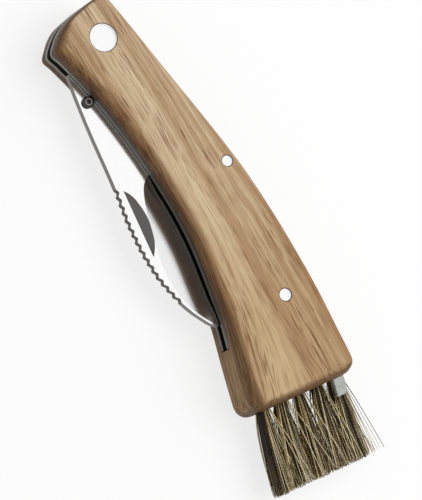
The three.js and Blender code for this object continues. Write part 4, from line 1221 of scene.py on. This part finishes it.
# Long hairs that cross their neighbours: lift, radius and place in the tones, then tuft, side and bow
CROSSING_HAIRS = (
    (0.8, 0.09, 0.35, ((4, 15.4, 0.4), (4, 14.6, -0.3), (3, 13.4, 0.5), (2, 9.0, 0.2))),
    (2.6, 0.15, 0.82, ((0, -6.0, 0.4), (0, -7.6, 0.2), (1, -3.2, 0.3), (1, 0.8, 0.5), (2, 4.2, 0.4),
                       (3, 9.3, 0.3), (3, 7.6, 0.4), (4, 12.2, 0.2))),
)
HAIR_START = (0.6, 0.9)
HAIR_SHORTER = 0.6
BRISTLE_TONES = ("120f0c", "282018", "54432b", "89703f", "c0a872", "eaddb8")
TUFT_NODES = (("tuft_1",), ("tuft_2",), ("tuft_3",), ("tufts_at_back",))
chance = random.Random(11)


def bristle():
    """Natural bristle: each strand has its own tone, and pales towards its tip."""
    f = Finish("natural_bristle")
    own = f.add("Attribute", attribute_name="tone", out="Fac")
    reach = f.add("Attribute", attribute_name="reach", out="Fac")
    paler = f.plus(own, f.times(f.maths("POWER", reach, 1.6), 0.28))
    mottled = f.plus(paler, f.times(f.minus(f.noise(f.place, 0.9), 0.5), 0.25))
    tone = f.bands(mottled, [(i / (len(BRISTLE_TONES) - 1), code) for i, code in enumerate(BRISTLE_TONES)])
    relief = f.bump(f.noise(f.place, 3.0), 0.2, 0.02 * MM)
    return f.surface(Base_Color=tone, Roughness=0.42, Normal=relief)


bristle_finish = bristle()


def bowed(t, start, middle, end):
    """A place on the curve from start to end that is drawn towards a middle point."""
    return start * (1 - t) ** 2 + middle * 2 * t * (1 - t) + end * t * t


def add_strand(mesh, layers, start, middle, end, radius, tone):
    """One curved strand, thinnest at its tip. Fault: its faces point inwards."""
    rings = []
    for step in range(STRAND_STEPS + 1):
        t = step / STRAND_STEPS
        way = ((middle - start) * (1 - t) + (end - middle) * t).normalized()
        side = way.cross(UP).normalized()
        rise = side.cross(way)
        here = radius * (1 - STRAND_TAPER * t)
        ring = []
        for k in range(STRAND_SIDES):
            a = 2 * math.pi * k / STRAND_SIDES
            spot = bowed(t, start, middle, end) + (side * math.cos(a) + rise * math.sin(a)) * here
            vertex = mesh.verts.new(spot)
            vertex[layers[0]] = tone
            vertex[layers[1]] = t
            ring.append(vertex)
        rings.append(ring)
    joined_rows(mesh, rings)
    mesh.faces.new(list(reversed(rings[0])))
    mesh.faces.new(rings[-1])


def in_room(spot):
    """The nearest spot that the tufts' room still holds."""
    spot.y = max(spot.y, ROOM_BELLY)
    spot.x = min(spot.x, ROOM_END)
    spot.z = clamped(spot.z, ROOM_BOTTOM, ROOM_TOP)
    return spot


def tuft(mesh, layers, index):
    """Strands that leave one bore close together, flare soon and gather in clumps at their tips."""
    root = roots[index]
    place = index - (TUFTS - 1) / 2
    tip_across = (place * TIP_PITCH - TIP_LEAN) * MM - place * (roots[1] - roots[0]).length
    start_angle = chance.uniform(0, 2 * math.pi)
    clumps = []
    for k in range(CLUMPS):
        reach, angle = math.sqrt((k + CLUMP_START) / CLUMPS), start_angle + CLUMP_TURN * k
        clumps.append((reach * math.cos(angle), reach * math.sin(angle)))
    for _ in range(STRANDS):
        radius, angle = math.sqrt(chance.random()), chance.uniform(0, 2 * math.pi)
        across, rise = radius * math.cos(angle), radius * math.sin(angle)
        start = root + (row_way * across + UP * rise) * ROOT_RADIUS * MM - out_way * ROOT_DEPTH * MM
        near = min(clumps, key=lambda clump: math.hypot(clump[0] - across, clump[1] - rise))
        pull = CLUMPING * chance.uniform(*CLUMPING_RANGE)
        tip_a = across + (near[0] - across) * pull
        tip_r = rise + (near[1] - rise) * pull
        bold = chance.random() < BOLD_SHARE
        astray = bold or chance.random() < STRAY_SHARE
        stray = chance.gauss(0, STRAY_SPREAD if astray else OWN_SPREAD)
        length = BRISTLE_LENGTH - abs(chance.gauss(0, LENGTH_SPREAD)) - EDGE_SHORTER * abs(tip_a)
        sideways = row_way * (tip_across + (tip_a * TIP_SPREAD[0] + stray) * MM)
        lift = (tip_r * TIP_SPREAD[1] + chance.gauss(0, LIFT_SPREAD) - TIP_SINK) * MM
        end = root + out_way * length * MM + sideways + Vector((0, 0, lift))
        way = end - start
        out_part = out_way * way.dot(out_way)
        bend_across, bend_up = (chance.gauss(0, spread) * MM for spread in BEND_SPREAD)
        bend = row_way * bend_across + UP * bend_up
        middle = start + out_part * FLARE_AT + (way - out_part) * FLARE_SHARES[index] + bend
        tone, thick = chance.choice(STRAND_PLACES), chance.uniform(*STRAND_RADIUS)
        if bold:
            thick, tone = chance.uniform(*BOLD_RADIUS), chance.choice(BOLD_PLACES)
        add_strand(mesh, layers, start, in_room(middle), in_room(end), thick * MM, tone)


def crossing_hair(mesh, layers, index, side_at, bow, lift, radius, tone):
    """One long hair that strays out of its tuft towards the handle's back."""
    across, rise = HAIR_START
    start = roots[index] + row_way * ROOT_RADIUS * across * MM - out_way * ROOT_DEPTH * MM
    start.z += rise * MM
    end = roots[index] + out_way * (BRISTLE_LENGTH - HAIR_SHORTER) * MM
    end.y = PIVOT.y + side_at * MM
    end.z += lift * MM
    middle = (start + end) / 2 + row_way * bow * MM
    add_strand(mesh, layers, start, in_room(middle), in_room(end), radius * MM, tone)


for number, nodes in enumerate(TUFT_NODES):
    mesh = bmesh.new()
    layers = (mesh.verts.layers.float.new("tone"), mesh.verts.layers.float.new("reach"))
    indexes = (number,) if number < len(TUFT_NODES) - 1 else range(number, TUFTS)
    for index in indexes:
        tuft(mesh, layers, index)
        for lift, radius, tone, hairs in CROSSING_HAIRS:
            for hair_tuft, side_at, bow in hairs:
                if hair_tuft == index:
                    crossing_hair(mesh, layers, index, side_at, bow, lift, radius, tone)
    hair = piece("bristles_" + "_".join(str(i + 1) for i in indexes), mesh, [bristle_finish])
    fitted(hair, "handle", "bristle", *nodes)

# Pivot rivet
# Two steel halves that press together: the rear one is a tube, the front one a shank that fills it.
# Their heads sit flush in the wood, and are ground and polished.
RIVET_SIDES = 96
GRINDING_RINGS = 6.0
HEAD_FLATS = (0.3, 0.7)
HEAD_EDGE = 0.18 * MM
HEAD_RIM = 0.05 * MM
DOME = 0.02 * MM
HEAD_THICKNESS = 1.2 * MM
TUBE_RADIUS = 2.4 * MM
SHANK_RADIUS = 1.4 * MM
BORE_FLOOR = 1.6 * MM


def bright(name, centre):
    """Polished steel with faint rings from its last grinding, round one centre."""
    f = Finish(name)
    lines = f.add("TexNoise", None, f.from_axis(centre), GRINDING_RINGS, 2.0, noise_dimensions="1D")
    tone = f.blend(f.between(lines, 0.35, 0.65), "fafafa", "ffffff")
    rough = f.ranged(lines, *NOISE_WINDOW, 0.12, 0.2)
    relief = f.bump(lines, 0.06, 0.006 * MM)
    return f.surface(Base_Color=tone, Metallic=1.0, Roughness=rough, Normal=relief)


pivot_finish = bright("polished_rivet", PIVOT)
tube_low, tube_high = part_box("pivot_rivet_tube")
shank_low, shank_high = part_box("pivot_rivet_shank")
head = radius_of("pivot_rivet_tube")
head_face = [(head * share, 0.0) for share in HEAD_FLATS]
head_face += [(head - HEAD_EDGE, DOME / 2), (head - HEAD_RIM, DOME * 2), (head, HEAD_EDGE)]
neck = tube_low.z + HEAD_THICKNESS
tube = [(radius, tube_low.z + drop) for radius, drop in head_face]
tube += [(head, neck), (TUBE_RADIUS, neck), (TUBE_RADIUS, tube_high.z)]
bore = [(SHANK_RADIUS + PIN_FIT, neck + BORE_FLOOR), (SHANK_RADIUS + PIN_FIT, tube_high.z)]
stacks = [rings_round(PIVOT, tube, RIVET_SIDES), rings_round(PIVOT, bore, RIVET_SIDES, -1)]
fitted(solid("rivet_tube_half", stacks, [pivot_finish]), "handle", "rivet_steel", "pivot_rivet_tube")
neck = shank_high.z - HEAD_THICKNESS
shank = [(SHANK_RADIUS, shank_low.z), (SHANK_RADIUS, neck), (head, neck)]
shank += [(radius, shank_high.z - drop) for radius, drop in reversed(head_face)]
stacks = [rings_round(PIVOT, shank, RIVET_SIDES)]
fitted(solid("rivet_shank_half", stacks, [pivot_finish]), "handle", "rivet_steel", "pivot_rivet_shank")

# Through pins
# Two polished steel pins that hold the scales, the liners and the spring together.
# They are pressed in and ground flush with both faces.
PIN_FACE = ((0.4, 0.0), (0.8, 0.01), (0.95, 0.04), (1.0, 0.15))
for node in ("spring_pin", "tail_pin"):
    low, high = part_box(node)
    centre = middle_of(node)
    profile = [(radius_of(node) * share, drop * MM) for share, drop in PIN_FACE]
    pin = turned_pin(f"through_{node}", centre, profile, low.z, high.z, bright(f"polished_{node}", centre))
    fitted(pin, "handle", "rivet_steel", node)

# Tweezers
# A sprung strip of steel folded into two legs, with a moulded plastic head that stands out of the
# handle's end. They slide into the front scale's slot.
HEAD_CORNER = 1.6 * MM
SMALL_CORNER = 0.45 * MM
HEAD_ROUND = 0.35 * MM
END_TOP_DROP = 0.55 * MM
END_BOTTOM_LIFT = 0.3 * MM
GRIP_OUT = 4.6 * MM
GRIP_LEAN = 0.6 * MM
PLAN_STEPS = 8


def plastic():
    f = Finish("moulded_plastic")
    grain = f.noise(f.place, 6.0, 3.0, 0.6)
    tone = f.blend(f.streaks(f.place, 0.6, (0.35, 0.65)), "a9aca6", "b8bbb5")
    rough = f.ranged(grain, *NOISE_WINDOW, 0.48, 0.62)
    return f.surface(Base_Color=tone, Roughness=rough, Normal=f.bump(grain, 0.3, 0.03 * MM))


def round_corners(plan, radii):
    """A plan with each corner rounded by its own radius."""
    points = []
    for i, (here, radius) in enumerate(zip(plan, radii)):
        back = (plan[i - 1] - here).normalized()
        on = (plan[(i + 1) % len(plan)] - here).normalized()
        for step in range(PLAN_STEPS + 1):
            points.append(bowed(step / PLAN_STEPS, here + back * radius, here, here + on * radius))
    return points


(start, end), (_, back_side), (bottom, top) = along_slide("tweezers_head")
belly_side = back_side - GRIP_WIDTH
mouth = end - GRIP_OUT
plan = [(start, belly_side), (mouth, belly_side), (end, belly_side - GRIP_LEAN)]
plan += [(end, back_side - GRIP_LEAN), (mouth, back_side), (start, back_side)]
radii = [SMALL_CORNER] * len(plan)
radii[3] = HEAD_CORNER
corners = round_corners([Vector(p) for p in plan], radii)
middle_z = (bottom + top) / 2
half_height = (top - bottom) / 2
profile = []
for i in range(ROUND_STEPS + 1):
    turn = math.pi / 2 * i / ROUND_STEPS
    profile.append((HEAD_ROUND * (1 - math.cos(turn)), half_height - HEAD_ROUND * (1 - math.sin(turn))))
profile = [(inset, -height) for inset, height in reversed(profile)] + profile
rings = []
for inset, height in profile:
    ring = []
    for p in drawn_in(corners, inset):
        taper = clamped((p.x - mouth) / (end - mouth))
        slimmer = END_TOP_DROP if height > 0 else END_BOTTOM_LIFT
        ring.append(on_slide(p.x, p.y, middle_z + height * (1 - slimmer / half_height * taper)))
    rings.append(ring)
grip = lofted("tweezers_grip", rings, [plastic()])
fitted(grip, "tweezers", "tweezers_plastic", "tweezers_head")
refinished("tweezers_strip", steel("strip_steel", "b4b6b5", 0.24, (0.4, 8.0, 8.0)))
